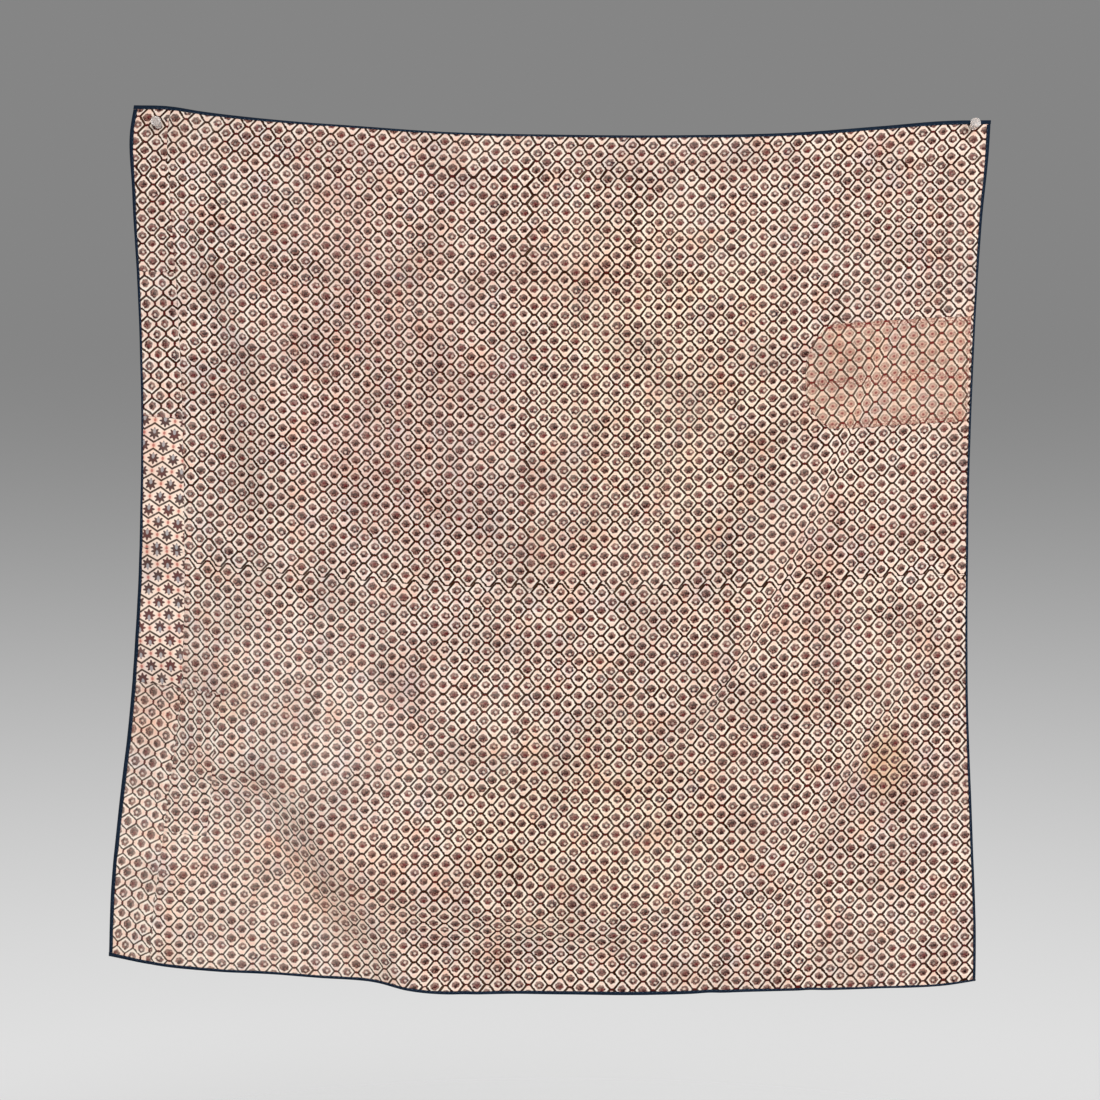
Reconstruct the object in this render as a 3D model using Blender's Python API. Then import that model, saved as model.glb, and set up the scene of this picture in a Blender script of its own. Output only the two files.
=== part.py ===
"""A pieced and patched block-printed cotton hanging, bound at its edges and held by two push pins.

Metres, +Z up. The front faces -Y and the wall plane is y = 0. The origin lies on the wall
plane, midway between the needles of the two pins. The cloth hangs from its top corners in
nested swags, so every sheet here follows one hung surface, hung_point, at its own height.
"""
import math
from collections import namedtuple

import bmesh
import bpy
import numpy as np
from mathutils import Matrix, Vector

MM = 0.001

# Thicknesses and clearances
CLOTH_THICK = 1.2 * MM
PATCH_THICK = 1.0 * MM
BINDING_WALL = 0.7 * MM
GAP = 0.3 * MM

# The net of the solids
CELL = 22.0 * MM
BACK_ROOM = 2.6 * MM

# Push pins
PIN_SPAN = 814.0 * MM
PIN_STEP = 1.0 * MM
PIN_TILT = math.radians(8.0)
PIN_SIDES = 20
NEEDLE_RADIUS = 0.55 * MM
NEEDLE_REACH = 11.0 * MM
NEEDLE_POINT = 2.5 * MM
BORE_DEPTH = 8.0 * MM
FLANGE_RADIUS = 3.6 * MM

# Outline of the bound cloth, seen from the front. Columns: x, z in millimetres.
TOP_EDGE = [(-431.5, 22), (-397, 21), (-365, 16), (-285, 7), (-205, 1), (-125, -4.5), (-5, -7.5),
            (115, -8), (235, -5), (315, 1), (385, 6.5), (425.5, 7)]
BOTTOM_EDGE = [(-456.5, -829), (-405, -838), (-325, -844.5), (-245, -851), (-185, -855),
               (-135, -862), (-45, -866), (75, -868), (195, -864.5), (315, -861.5), (385, -858),
               (410, -854)]
LEFT_EDGE = [(-431.5, 22), (-435.5, -3), (-433.5, -63), (-427.5, -173), (-424.5, -273),
             (-425.5, -393), (-429.5, -503), (-436.5, -593), (-447.5, -688), (-455, -773),
             (-456.5, -829)]
RIGHT_EDGE = [(425.5, 7), (423.5, -23), (416.5, -93), (410.5, -183), (405.5, -293),
              (402.5, -413), (402.5, -573), (406.5, -693), (410.5, -823), (410, -854)]

# Width of the binding in millimetres, at equal steps along each edge
BINDING_WIDTHS = {
    "top": (7.0, 5.0, 4.5, 4.5, 5.0, 5.5),
    "bottom": (6.0, 5.0, 5.5, 6.0, 5.0, 4.5),
    "left": (6.5, 5.0, 4.5, 6.0, 6.5, 6.0),
    "right": (6.0, 4.5, 4.5, 4.5, 5.0, 5.0),
}

# The strip sewn on down the left edge. Columns: share of the height, width in millimetres.
STRIP_WIDTHS = [(0.0, 37), (0.19, 39), (0.39, 42), (0.53, 46), (0.67, 50), (0.85, 47), (1.0, 43)]
STRIP_BREAKS = (0.195, 0.365, 0.519, 0.676)

# A narrow piece let in beside the strip, and the patch laid on near the right edge.
# Shares run across the field from its seam, and down the cloth.
LET_IN = {"across": 0.053, "top": 0.676, "bottom": 0.845}
PATCH = {"left": 0.787, "corner": 0.825, "top": 0.2285, "corner_top": 0.261,
         "corner_bottom": 0.319, "bottom": 0.350}

# The hanging folds. A path runs along the crest, with its steep side on the right of the
# way it runs. rise is the crest's height, inner and outer how far the bulge reaches on its
# left and right, in millimetres; fade_in and fade_out are the shares of the path over which
# it grows from nothing and dies away.
Fold = namedtuple("Fold", "name path rise inner outer fade_in fade_out")
FOLDS = [
    Fold("outer_swag", [(-403, -23), (-350, -203), (-305, -453), (-262, -643), (-160, -743),
                        (-10, -768), (125, -741), (230, -640), (300, -423), (362, -203),
                        (403, -23)], 17, 110, 42, 0.45, 0.55),
    Fold("left_hip", [(-400, -618), (-352, -629), (-312, -643), (-281, -675), (-262, -722),
                      (-232, -758), (-196, -782), (-168, -822), (-148, -880)],
         21, 80, 25, 0.26, 0.0),
    Fold("low_swag", [(-235, -690), (-170, -745), (-80, -772), (20, -775), (110, -757),
                      (190, -715)], 17, 58, 32, 0.35, 0.6),
    Fold("middle_swag", [(-265, -328), (-220, -413), (-180, -498), (-145, -563), (-108, -598),
                         (-45, -615), (35, -615), (95, -593)], 10, 60, 22, 0.55, 0.4),
    Fold("right_crease", [(-30, -662), (60, -640), (122, -585), (178, -505), (224, -410),
                          (255, -340), (297, -235), (345, -140), (392, -35)],
         16, 75, 22, 0.30, 0.50),
    Fold("right_flank", [(165, -860), (212, -730), (280, -612), (366, -470), (402, -380)],
         11, 70, 26, 0.15, 0.45),
    Fold("upper_swag", [(-235, -290), (-180, -385), (-110, -435), (0, -441), (110, -425),
                        (190, -355)], 5, 60, 32, 0.4, 0.4),
    Fold("left_fold_high", [(-382, -35), (-345, -130), (-315, -215), (-284, -290),
                            (-252, -395), (-230, -480)], 10, 45, 20, 0.30, 0.55),
    Fold("left_fold_low", [(-364, -215), (-320, -300), (-290, -380), (-268, -455)],
         7, 30, 20, 0.40, 0.45),
    Fold("left_hollow", [(-402, -430), (-366, -493), (-334, -563), (-322, -623)],
         9, 48, 24, 0.35, 0.40),
    Fold("corner_swell", [(-450, -795), (-370, -822), (-285, -858)], 7, 60, 30, 0.25, 0.35),
    Fold("mid_ripple", [(-8, -90), (-6, -220), (0, -350)], 2.5, 20, 20, 0.35, 0.35),
    Fold("right_ripple", [(268, -330), (272, -450), (262, -560)], 4, 40, 24, 0.35, 0.35),
]
PATH_STEPS = 48


def smooth_curve(points):
    """Returns a function that gives the place on a smooth curve at a share of its chord length."""
    points = np.array(points, dtype=float) * MM
    chord = np.linalg.norm(np.diff(points, axis=0), axis=1)
    knots = np.concatenate([[0.0], np.cumsum(chord)]) / chord.sum()
    slopes = np.gradient(points, knots, axis=0)

    def curve(share):
        share = np.clip(np.asarray(share, dtype=float), 0.0, 1.0)
        k = np.clip(np.searchsorted(knots, share, side="right") - 1, 0, len(knots) - 2)
        span = (knots[k + 1] - knots[k])[..., None]
        t = (share - knots[k])[..., None] / span
        ease = t * t * (3 - 2 * t)
        place = points[k] * (1 - ease) + points[k + 1] * ease
        bend = slopes[k] * t * (1 - t) ** 2 - slopes[k + 1] * t * t * (1 - t)
        return place + bend * span

    return curve


EDGES = {name: smooth_curve(points) for name, points in
         [("top", TOP_EDGE), ("bottom", BOTTOM_EDGE), ("left", LEFT_EDGE), ("right", RIGHT_EDGE)]}
FOLD_LINES = {fold.name: smooth_curve(fold.path)(np.linspace(0, 1, PATH_STEPS)) for fold in FOLDS}


def flat_place(across, down):
    """x, z on the front view, for shares across and down, blended from the four edges."""
    s = across[..., None]
    v = down[..., None]
    rims = ((1 - v) * EDGES["top"](across) + v * EDGES["bottom"](across)
            + (1 - s) * EDGES["left"](down) + s * EDGES["right"](down))
    corners = ((1 - s) * (1 - v) * EDGES["top"](0.0) + s * (1 - v) * EDGES["top"](1.0)
               + (1 - s) * v * EDGES["bottom"](0.0) + s * v * EDGES["bottom"](1.0))
    place = rims - corners
    return place[..., 0], place[..., 1]


def ease_in(share, reach):
    """0 at share 0, 1 from share reach on, with a soft start and end."""
    if reach <= 0:
        return np.ones_like(share)
    t = np.clip(share / reach, 0.0, 1.0)
    return t * t * (3 - 2 * t)


def fold_height(fold, x, z):
    """How far one fold stands out from the wall at the places x, z."""
    line = FOLD_LINES[fold.name]
    start = line[:-1]
    run = line[1:] - start
    off_x = x[..., None] - start[:, 0]
    off_z = z[..., None] - start[:, 1]
    along = np.clip((off_x * run[:, 0] + off_z * run[:, 1]) / (run ** 2).sum(axis=1), 0.0, 1.0)
    gap_x = off_x - along * run[:, 0]
    gap_z = off_z - along * run[:, 1]
    distance = np.hypot(gap_x, gap_z)
    near = distance.argmin(axis=-1)[..., None]
    side, share, distance = (
        np.take_along_axis(values, near, axis=-1)[..., 0]
        for values in (run[:, 0] * off_z - run[:, 1] * off_x,
                       (along + np.arange(len(run))) / len(run), distance))
    reach = np.where(side > 0, fold.inner, fold.outer) * MM
    height = fold.rise * MM * np.exp(-(distance / reach) ** 2)
    return height * ease_in(share, fold.fade_in) * ease_in(1 - share, fold.fade_out)


def hung_point(across, down):
    """Middle of the cloth's thickness, for shares across and down."""
    across, down = np.broadcast_arrays(np.asarray(across, float), np.asarray(down, float))
    x, z = flat_place(across, down)
    depth = np.full_like(x, BACK_ROOM)
    for fold in FOLDS:
        depth = depth + fold_height(fold, x, z)
    return np.stack([x, -depth, z], axis=-1)


def hung_normal(across, down, step=2e-3):
    """Unit normal towards the front, for shares across and down."""
    side = hung_point(across + step, down) - hung_point(across - step, down)
    fall = hung_point(across, down + step) - hung_point(across, down - step)
    normal = np.cross(fall, side)
    normal /= np.linalg.norm(normal, axis=-1, keepdims=True)
    return np.where(normal[..., 1:2] > 0, -normal, normal)


def raised(across, down, height):
    """Points at a height in front of the middle of the cloth."""
    return hung_point(across, down) + hung_normal(across, down) * height


def cloth_width(down):
    return np.linalg.norm(EDGES["right"](down) - EDGES["left"](down), axis=-1)


def cloth_height(across):
    return np.linalg.norm(EDGES["bottom"](across) - EDGES["top"](across), axis=-1)


def binding_width(side, share):
    widths = BINDING_WIDTHS[side]
    return np.interp(share, np.linspace(0, 1, len(widths)), widths) * MM


def strip_width(down):
    shares, widths = zip(*STRIP_WIDTHS)
    return np.interp(down, shares, widths) * MM


def filled(marks, pitch):
    """The marks with equal steps between them, none longer than about the pitch."""
    lines = [marks[0]]
    for low, high in zip(marks, marks[1:]):
        count = max(1, round((high - low) / pitch))
        lines += [low + (high - low) * k / count for k in range(1, count + 1)]
    return np.array(lines)


def line_number(lines, share):
    return int(np.argmin(np.abs(lines - share)))


HEIGHT = float(cloth_height(np.array(0.5)))
FIELD_WIDTH = float(cloth_width(np.array(0.5)) - strip_width(0.5))
DOWN_MARKS = {0.0, *STRIP_BREAKS, LET_IN["bottom"], PATCH["top"], PATCH["corner_top"],
              PATCH["corner_bottom"], PATCH["bottom"], 1.0}
DOWN_LINES = filled(sorted(DOWN_MARKS), CELL / HEIGHT)
FIELD_LINES = filled([0.0, LET_IN["across"], PATCH["left"], PATCH["corner"], 1.0],
                     CELL / FIELD_WIDTH)
STRIP_LINES = np.array([0.0, 0.5, 1.0])


def main_net():
    """Shares across and down at every crossing of the whole cloth's net, edge to edge."""
    upright_lines = ([("edge", 0.0), ("left_rim", 0.0)]
                     + [("strip", share) for share in STRIP_LINES[1:]]
                     + [("field", share) for share in FIELD_LINES[1:-1]]
                     + [("right_rim", 1.0), ("edge", 1.0)])
    down_shares = np.concatenate([[0.0, 0.0], DOWN_LINES[1:-1], [1.0, 1.0]])
    down = np.repeat(down_shares[:, None], len(upright_lines), axis=1)
    even = np.linspace(0, 1, len(upright_lines))
    down[1] = binding_width("top", even) / cloth_height(even)
    down[-2] = 1 - binding_width("bottom", even) / cloth_height(even)
    across = np.zeros_like(down)
    for column, (kind, share) in enumerate(upright_lines):
        at = down[:, column]
        width = cloth_width(at)
        seam = strip_width(at) / width
        across[:, column] = {
            "edge": np.full_like(at, share),
            "left_rim": binding_width("left", at) / width,
            "right_rim": 1 - binding_width("right", at) / width,
            "strip": seam * share,
            "field": seam + (1 - seam) * share,
        }[kind]
    return across, down


NET_ACROSS, NET_DOWN = main_net()
SEAM_COLUMN = len(STRIP_LINES)
LAST_COLUMN = NET_ACROSS.shape[1] - 1
LAST_ROW = NET_ACROSS.shape[0] - 1
EDGE_INSET = BINDING_WALL + GAP
MID_PATCH_ROW = 1 + line_number(DOWN_LINES, (PATCH["top"] + PATCH["bottom"]) / 2)


def row_of(share):
    return 1 + line_number(DOWN_LINES, share)


def column_of(share):
    return SEAM_COLUMN + line_number(FIELD_LINES, share)


def drawn_in(across, down, side, distance):
    """Moves one side of a block of the net by a distance towards the next line."""
    end, inner = {"left": (np.s_[:, 0], np.s_[:, 1]), "right": (np.s_[:, -1], np.s_[:, -2]),
                  "top": (np.s_[0], np.s_[1]), "bottom": (np.s_[-1], np.s_[-2])}[side]
    end_x, end_z = flat_place(across[end], down[end])
    inner_x, inner_z = flat_place(across[inner], down[inner])
    share = distance / np.hypot(inner_x - end_x, inner_z - end_z)
    for shares in (across, down):
        shares[end] += (shares[inner] - shares[end]) * share


def part_of_net(columns, rows, **trims):
    """A block of the net between two columns and two rows, its sides drawn in by distances."""
    block = np.s_[rows[0]:rows[1] + 1, columns[0]:columns[1] + 1]
    across = NET_ACROSS[block].copy()
    down = NET_DOWN[block].copy()
    for side, distance in trims.items():
        drawn_in(across, down, side, distance)
    return across, down


def cell_triangles(rows, columns, first_row, skip):
    """Two triangles for each cell. Diagonals lean one way above the patch's middle row and
    the other way below it, so that the patch's cut corners lie on them."""
    triangles = []
    for r in range(rows - 1):
        for c in range(columns - 1):
            a, b = r * columns + c, r * columns + c + 1
            d, e = a + columns, b + columns
            if first_row + r < MID_PATCH_ROW:
                pair = {"upper": (a, d, b), "lower": (b, d, e)}
            else:
                pair = {"upper": (a, e, b), "lower": (a, d, e)}
            triangles += [face for half, face in pair.items() if (r, c, half) not in skip]
    return triangles


def closed_mesh(name, vertices, faces):
    """A mesh of one closed body with its faces pointing out."""
    mesh = bpy.data.meshes.new(name)
    shape = bmesh.new()
    points = [shape.verts.new(Vector(place)) for place in vertices]
    for face in faces:
        shape.faces.new([points[k] for k in face])
    bmesh.ops.delete(shape, geom=[v for v in shape.verts if not v.link_faces], context="VERTS")
    bmesh.ops.recalc_face_normals(shape, faces=shape.faces)
    shape.to_mesh(mesh)
    shape.free()
    return mesh


def add_object(name, mesh, material):
    mesh.materials.append(material)
    piece = bpy.data.objects.new(name, mesh)
    bpy.context.scene.collection.objects.link(piece)
    return piece


def sheet_mesh(name, across, down, low, high, first_row, skip=()):
    """A sheet between two heights over a block of the net, closed round its rim."""
    rows, columns = across.shape
    front = raised(across, down, high).reshape(-1, 3)
    back = raised(across, down, low).reshape(-1, 3)
    count = rows * columns
    fronts = cell_triangles(rows, columns, first_row, set(skip))
    backs = [tuple(k + count for k in reversed(face)) for face in fronts]
    used = {edge for face in fronts for edge in zip(face, face[1:] + face[:1])}
    rim = [edge for edge in used if (edge[1], edge[0]) not in used]
    walls = []
    for a, b in sorted(rim):
        walls += [(b, a, a + count), (b, a + count, b + count)]
    return closed_mesh(name, np.concatenate([front, back]), fronts + backs + walls)


def field_piece(material):
    """The main cloth, with the notch at its seam where the narrow piece is let in."""
    rows = (0, LAST_ROW)
    columns = (SEAM_COLUMN, LAST_COLUMN)
    across, down = part_of_net(columns, rows, left=GAP / 2, right=EDGE_INSET, top=EDGE_INSET,
                               bottom=EDGE_INSET)
    top, bottom = row_of(LET_IN["top"]), row_of(LET_IN["bottom"])
    width = column_of(LET_IN["across"]) - SEAM_COLUMN
    notch = {(r, c, half) for r in range(top, bottom) for c in range(width)
             for half in ("upper", "lower")}
    mesh = sheet_mesh("printed_field", across, down, -CLOTH_THICK / 2, CLOTH_THICK / 2, 0, notch)
    return add_object("printed_field", mesh, material)


def let_in_piece(material):
    """The narrow piece sewn into the notch of the main cloth."""
    rows = (row_of(LET_IN["top"]), row_of(LET_IN["bottom"]))
    columns = (SEAM_COLUMN, column_of(LET_IN["across"]))
    across, down = part_of_net(columns, rows, left=GAP / 2, right=GAP, top=GAP, bottom=GAP)
    mesh = sheet_mesh("let_in_piece", across, down, -CLOTH_THICK / 2, CLOTH_THICK / 2, rows[0])
    return add_object("let_in_piece", mesh, material)


def strip_pieces(materials):
    """The lengths sewn end to end down the left edge."""
    breaks = [0] + [row_of(share) for share in STRIP_BREAKS] + [LAST_ROW]
    pieces = []
    for number, (top, bottom) in enumerate(zip(breaks, breaks[1:])):
        trim_top = EDGE_INSET if top == 0 else GAP / 2
        trim_bottom = EDGE_INSET if bottom == LAST_ROW else GAP / 2
        across, down = part_of_net((0, SEAM_COLUMN), (top, bottom), left=EDGE_INSET,
                                   right=GAP / 2, top=trim_top, bottom=trim_bottom)
        name = f"edge_strip_{number + 1}"
        mesh = sheet_mesh(name, across, down, -CLOTH_THICK / 2, CLOTH_THICK / 2, top)
        pieces.append(add_object(name, mesh, materials[number]))
    return pieces


def patch_piece(material):
    """The patch, laid on the front, with its two left corners cut off."""
    rows = (row_of(PATCH["top"]), row_of(PATCH["bottom"]))
    columns = (column_of(PATCH["left"]), LAST_COLUMN - 1)
    across, down = part_of_net(columns, rows, right=GAP)
    low = CLOTH_THICK / 2 + GAP
    last = rows[1] - rows[0] - 1
    skip = [(0, 0, "upper"), (last, 0, "lower")]
    mesh = sheet_mesh("sewn_patch", across, down, low, low + PATCH_THICK, rows[0], skip)
    return add_object("sewn_patch", mesh, material)


def leans_outward(side, row):
    """True where the cloth's diagonals run from the tape's free edge out to its fold."""
    above = row < MID_PATCH_ROW
    return {"left": above, "right": not above}.get(side, True)


def binding_mesh(name, outer, wall, inner, first_row, side):
    """A tape folded over the edge. outer, wall and inner are the shares across and down at
    its fold, at the inside of the fold and at its two free edges."""
    inside = CLOTH_THICK / 2 + GAP
    outside = inside + BINDING_WALL
    ring = [(inner, outside), (outer, outside), (outer, -outside), (inner, -outside),
            (inner, -inside), (wall, -inside), (wall, inside), (inner, inside)]
    loops = np.stack([raised(*shares, height) for shares, height in ring], axis=1)
    stations, sides = loops.shape[:2]
    faces = []
    for k in range(stations - 1):
        for m in range(sides):
            a, b = k * sides + m, k * sides + (m + 1) % sides
            d, e = a + sides, b + sides
            if leans_outward(side, first_row + k) == (m in (0, 4)):
                faces += [(a, b, e), (a, e, d)]
            else:
                faces += [(a, b, d), (b, e, d)]
    caps = [(0, 1, 7), (1, 6, 7), (1, 2, 6), (2, 5, 6), (2, 3, 5), (3, 4, 5)]
    last = (stations - 1) * sides
    faces += caps + [tuple(last + k for k in reversed(cap)) for cap in caps]
    return closed_mesh(name, loops.reshape(-1, 3), faces)


def binding_pieces(material):
    """Two lengths over the whole top and bottom, and two between them down the sides."""
    ends = {"top": GAP, "bottom": GAP}
    blocks = {"top": ((0, LAST_COLUMN), (0, 1), {}),
              "bottom": ((0, LAST_COLUMN), (LAST_ROW - 1, LAST_ROW), {}),
              "left": ((0, 1), (1, LAST_ROW - 1), ends),
              "right": ((LAST_COLUMN - 1, LAST_COLUMN), (1, LAST_ROW - 1), ends)}
    pieces = []
    for side, (columns, rows, trims) in blocks.items():
        across, down = part_of_net(columns, rows, **trims)
        wall_across, wall_down = across.copy(), down.copy()
        drawn_in(wall_across, wall_down, side, BINDING_WALL)
        outer, inner = {"top": (np.s_[0], np.s_[1]), "bottom": (np.s_[1], np.s_[0]),
                        "left": (np.s_[:, 0], np.s_[:, 1]),
                        "right": (np.s_[:, 1], np.s_[:, 0])}[side]
        places = ((across[outer], down[outer]), (wall_across[outer], wall_down[outer]),
                  (across[inner], down[inner]))
        name = f"binding_{side}"
        mesh = binding_mesh(name, *places, rows[0], side)
        pieces.append(add_object(name, mesh, material))
    return pieces


def turned_mesh(name, profile, frame):
    """A closed body turned about the frame's Z axis. Columns: radius, height in metres."""
    shape = bmesh.new()
    rings = []
    for radius, height in profile:
        if radius == 0:
            rings.append([shape.verts.new((0, 0, height))])
        else:
            turn = [2 * math.pi * k / PIN_SIDES for k in range(PIN_SIDES)]
            rings.append([shape.verts.new((radius * math.cos(a), radius * math.sin(a), height))
                          for a in turn])
    for low, high in zip(rings, rings[1:]):
        for k in range(PIN_SIDES):
            n = (k + 1) % PIN_SIDES
            lower = low if len(low) == 1 else [low[k], low[n]]
            upper = high if len(high) == 1 else [high[n], high[k]]
            shape.faces.new(lower + upper)
    bmesh.ops.recalc_face_normals(shape, faces=shape.faces)
    mesh = bpy.data.meshes.new(name)
    shape.to_mesh(mesh)
    shape.free()
    mesh.transform(frame)
    mesh.shade_smooth()
    mesh.set_sharp_from_angle(angle=math.radians(35))
    return mesh


def pin_profiles():
    """Radius and height of the moulded body and of its needle, from the flange's underside."""
    bore = NEEDLE_RADIUS + GAP
    body = [(0, BORE_DEPTH), (bore, BORE_DEPTH), (bore, 0), (FLANGE_RADIUS, 0),
            (FLANGE_RADIUS, 0.9 * MM), (2.5 * MM, 2.2 * MM), (2.0 * MM, 4.4 * MM),
            (2.3 * MM, 6.6 * MM), (4.0 * MM, 8.6 * MM), (4.9 * MM, 9.5 * MM),
            (5.1 * MM, 10.4 * MM), (4.7 * MM, 11.4 * MM), (3.6 * MM, 11.9 * MM), (0, 12.1 * MM)]
    needle = [(0, BORE_DEPTH - GAP), (NEEDLE_RADIUS, BORE_DEPTH - GAP),
              (NEEDLE_RADIUS, NEEDLE_POINT - NEEDLE_REACH), (0, -NEEDLE_REACH)]
    return body, needle


def cut_needle_hole(cloth, frame):
    """Cuts the needle's clearance hole through a sheet."""
    cutter = bmesh.new()
    bmesh.ops.create_cone(cutter, cap_ends=True, segments=10, radius1=NEEDLE_RADIUS + GAP,
                          radius2=NEEDLE_RADIUS + GAP, depth=NEEDLE_REACH, matrix=frame)
    mesh = bpy.data.meshes.new(f"{cloth.name}_hole")
    cutter.to_mesh(mesh)
    cutter.free()
    tool = bpy.data.objects.new(f"{cloth.name}_hole", mesh)
    tool.hide_render = True
    tool.display_type = "WIRE"
    bpy.context.scene.collection.objects.link(tool)
    cut = cloth.modifiers.new("needle_hole", "BOOLEAN")
    cut.operation = "DIFFERENCE"
    cut.solver = "EXACT"
    cut.object = tool


def cloth_depth_at(x, z):
    """Depth of the middle of the cloth at a place on the front view."""
    depth = BACK_ROOM
    for fold in FOLDS:
        depth += float(fold_height(fold, np.array([x]), np.array([z]))[0])
    return depth


def push_pins(clear, steel, cloths):
    """A clear push pin through each top corner, leaning a little upwards at the head."""
    body, needle = pin_profiles()
    lean = Matrix.Rotation(math.pi / 2 - PIN_TILT, 4, "X")
    for side, x, z, cloth, over in (("left", -PIN_SPAN / 2, PIN_STEP, cloths[0], 0.0),
                                    ("right", PIN_SPAN / 2, -PIN_STEP, cloths[1],
                                     GAP + BINDING_WALL)):
        seat = cloth_depth_at(x, z) + CLOTH_THICK / 2 + over + GAP
        seat += FLANGE_RADIUS * math.sin(PIN_TILT)
        frame = Matrix.Translation((x, -seat, z + seat * math.tan(PIN_TILT))) @ lean
        cut_needle_hole(cloth, frame)
        add_object(f"pin_body_{side}", turned_mesh(f"pin_body_{side}", body, frame), clear)
        add_object(f"pin_needle_{side}", turned_mesh(f"pin_needle_{side}", needle, frame), steel)


def finish(name, colour, roughness, metallic=0.0, sheen=0.0, transmission=0.0):
    material = bpy.data.materials.new(name)
    material.use_nodes = True
    shader = material.node_tree.nodes["Principled BSDF"]
    shader.inputs["Base Color"].default_value = (*colour, 1.0)
    shader.inputs["Roughness"].default_value = roughness
    shader.inputs["Metallic"].default_value = metallic
    shader.inputs["Sheen Weight"].default_value = sheen
    shader.inputs["Transmission Weight"].default_value = transmission
    material.diffuse_color = (*colour, 1.0)
    return material


def main():
    for old in list(bpy.data.objects):
        bpy.data.objects.remove(old, do_unlink=True)
    print_cotton = finish("printed_cotton", (0.46, 0.32, 0.27), 0.9, sheen=0.2)
    palmette_cotton = finish("palmette_cotton", (0.44, 0.33, 0.29), 0.9, sheen=0.2)
    patch_cotton = finish("patch_cotton", (0.60, 0.38, 0.28), 0.9, sheen=0.2)
    navy_cotton = finish("navy_cotton", (0.013, 0.030, 0.070), 0.85, sheen=0.2)
    clear_plastic = finish("clear_plastic", (0.80, 0.82, 0.83), 0.15, transmission=0.8)
    steel = finish("steel", (0.60, 0.60, 0.60), 0.25, metallic=1.0)
    field = field_piece(print_cotton)
    strips = strip_pieces([print_cotton, print_cotton, palmette_cotton, palmette_cotton,
                           print_cotton])
    let_in_piece(print_cotton)
    patch_piece(patch_cotton)
    binding_pieces(navy_cotton)
    push_pins(clear_plastic, steel, (strips[0], field))


if __name__ == "__main__":
    main()
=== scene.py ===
"""Dresses a pieced, block-printed cotton hanging: its cloths, tape binding, stitches and push pins.

Metres, +Z up, the front towards -Y and the wall plane at y = 0. Every cloth follows one hung
surface, given by shares across and down the cloth, and carries its place on the flat cloth as
its UV map, in metres, so that the print runs over the folds as it does on real cotton.
"""
import math
from collections import namedtuple

import bmesh
import bpy
import numpy as np
from bpy.props import FloatProperty, FloatVectorProperty, IntProperty, PointerProperty
from mathutils import Matrix, Vector, noise


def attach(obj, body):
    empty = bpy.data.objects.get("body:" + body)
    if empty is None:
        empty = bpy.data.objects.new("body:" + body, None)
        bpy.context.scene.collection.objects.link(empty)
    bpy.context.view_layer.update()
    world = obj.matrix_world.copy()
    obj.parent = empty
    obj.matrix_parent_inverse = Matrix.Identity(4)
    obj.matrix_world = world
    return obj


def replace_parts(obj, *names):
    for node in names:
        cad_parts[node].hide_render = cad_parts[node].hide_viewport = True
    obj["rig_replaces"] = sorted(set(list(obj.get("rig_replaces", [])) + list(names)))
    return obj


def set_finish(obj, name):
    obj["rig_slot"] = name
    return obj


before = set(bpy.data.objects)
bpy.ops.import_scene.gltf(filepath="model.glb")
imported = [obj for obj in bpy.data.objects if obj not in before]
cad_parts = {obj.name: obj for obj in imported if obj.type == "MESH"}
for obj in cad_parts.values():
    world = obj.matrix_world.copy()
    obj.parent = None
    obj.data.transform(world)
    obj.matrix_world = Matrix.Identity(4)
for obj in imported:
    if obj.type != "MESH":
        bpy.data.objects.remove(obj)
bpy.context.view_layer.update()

bl_info = {
    "name": "Block-Printed Hanging",
    "version": (1, 0, 0),
    "blender": (4, 5, 0),
    "location": "View3D > Sidebar > Hanging",
    "description": "Builds a block-printed cotton hanging with its binding, stitches and push pins",
    "category": "Add Mesh",
}

MM = 0.001
BODY = "root"
FLAT_MAP = "flat_cloth"

# Thicknesses of the solids, which set where the pins sit
SOLID_CLOTH = 1.2 * MM
SOLID_BINDING = 0.7 * MM
SOLID_GAP = 0.3 * MM
BACK_ROOM = 2.6 * MM

# Outline of the bound cloth, seen from the front. Columns: x, z in millimetres.
TOP_EDGE = [(-431.5, 22), (-397, 21), (-365, 16), (-285, 7), (-205, 1), (-125, -4.5), (-5, -7.5),
            (115, -8), (235, -5), (315, 1), (385, 6.5), (425.5, 7)]
BOTTOM_EDGE = [(-456.5, -829), (-405, -838), (-325, -844.5), (-245, -851), (-185, -855),
               (-135, -862), (-45, -866), (75, -868), (195, -864.5), (315, -861.5), (385, -858),
               (410, -854)]
LEFT_EDGE = [(-431.5, 22), (-435.5, -3), (-433.5, -63), (-427.5, -173), (-424.5, -273),
             (-425.5, -393), (-429.5, -503), (-436.5, -593), (-447.5, -688), (-455, -773),
             (-456.5, -829)]
RIGHT_EDGE = [(425.5, 7), (423.5, -23), (416.5, -93), (410.5, -183), (405.5, -293),
              (402.5, -413), (402.5, -573), (406.5, -693), (410.5, -823), (410, -854)]

# Width of the binding in millimetres, at equal steps along each edge
BINDING_WIDTHS = {
    "top": (7.0, 5.0, 4.5, 4.5, 5.0, 5.5),
    "bottom": (6.0, 5.0, 5.5, 6.0, 5.0, 4.5),
    "left": (6.5, 5.0, 4.5, 6.0, 6.5, 6.0),
    "right": (6.0, 4.5, 4.5, 4.5, 5.0, 5.0),
}

# The strip sewn on down the left edge. Columns: share of the height, width in millimetres. It is
# pieced at the breaks, given as shares of the height.
STRIP_WIDTHS = [(0.0, 37), (0.19, 39), (0.39, 42), (0.53, 46), (0.67, 50), (0.85, 47), (1.0, 43)]
STRIP_BREAKS = (0.195, 0.365, 0.519, 0.676)

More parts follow.
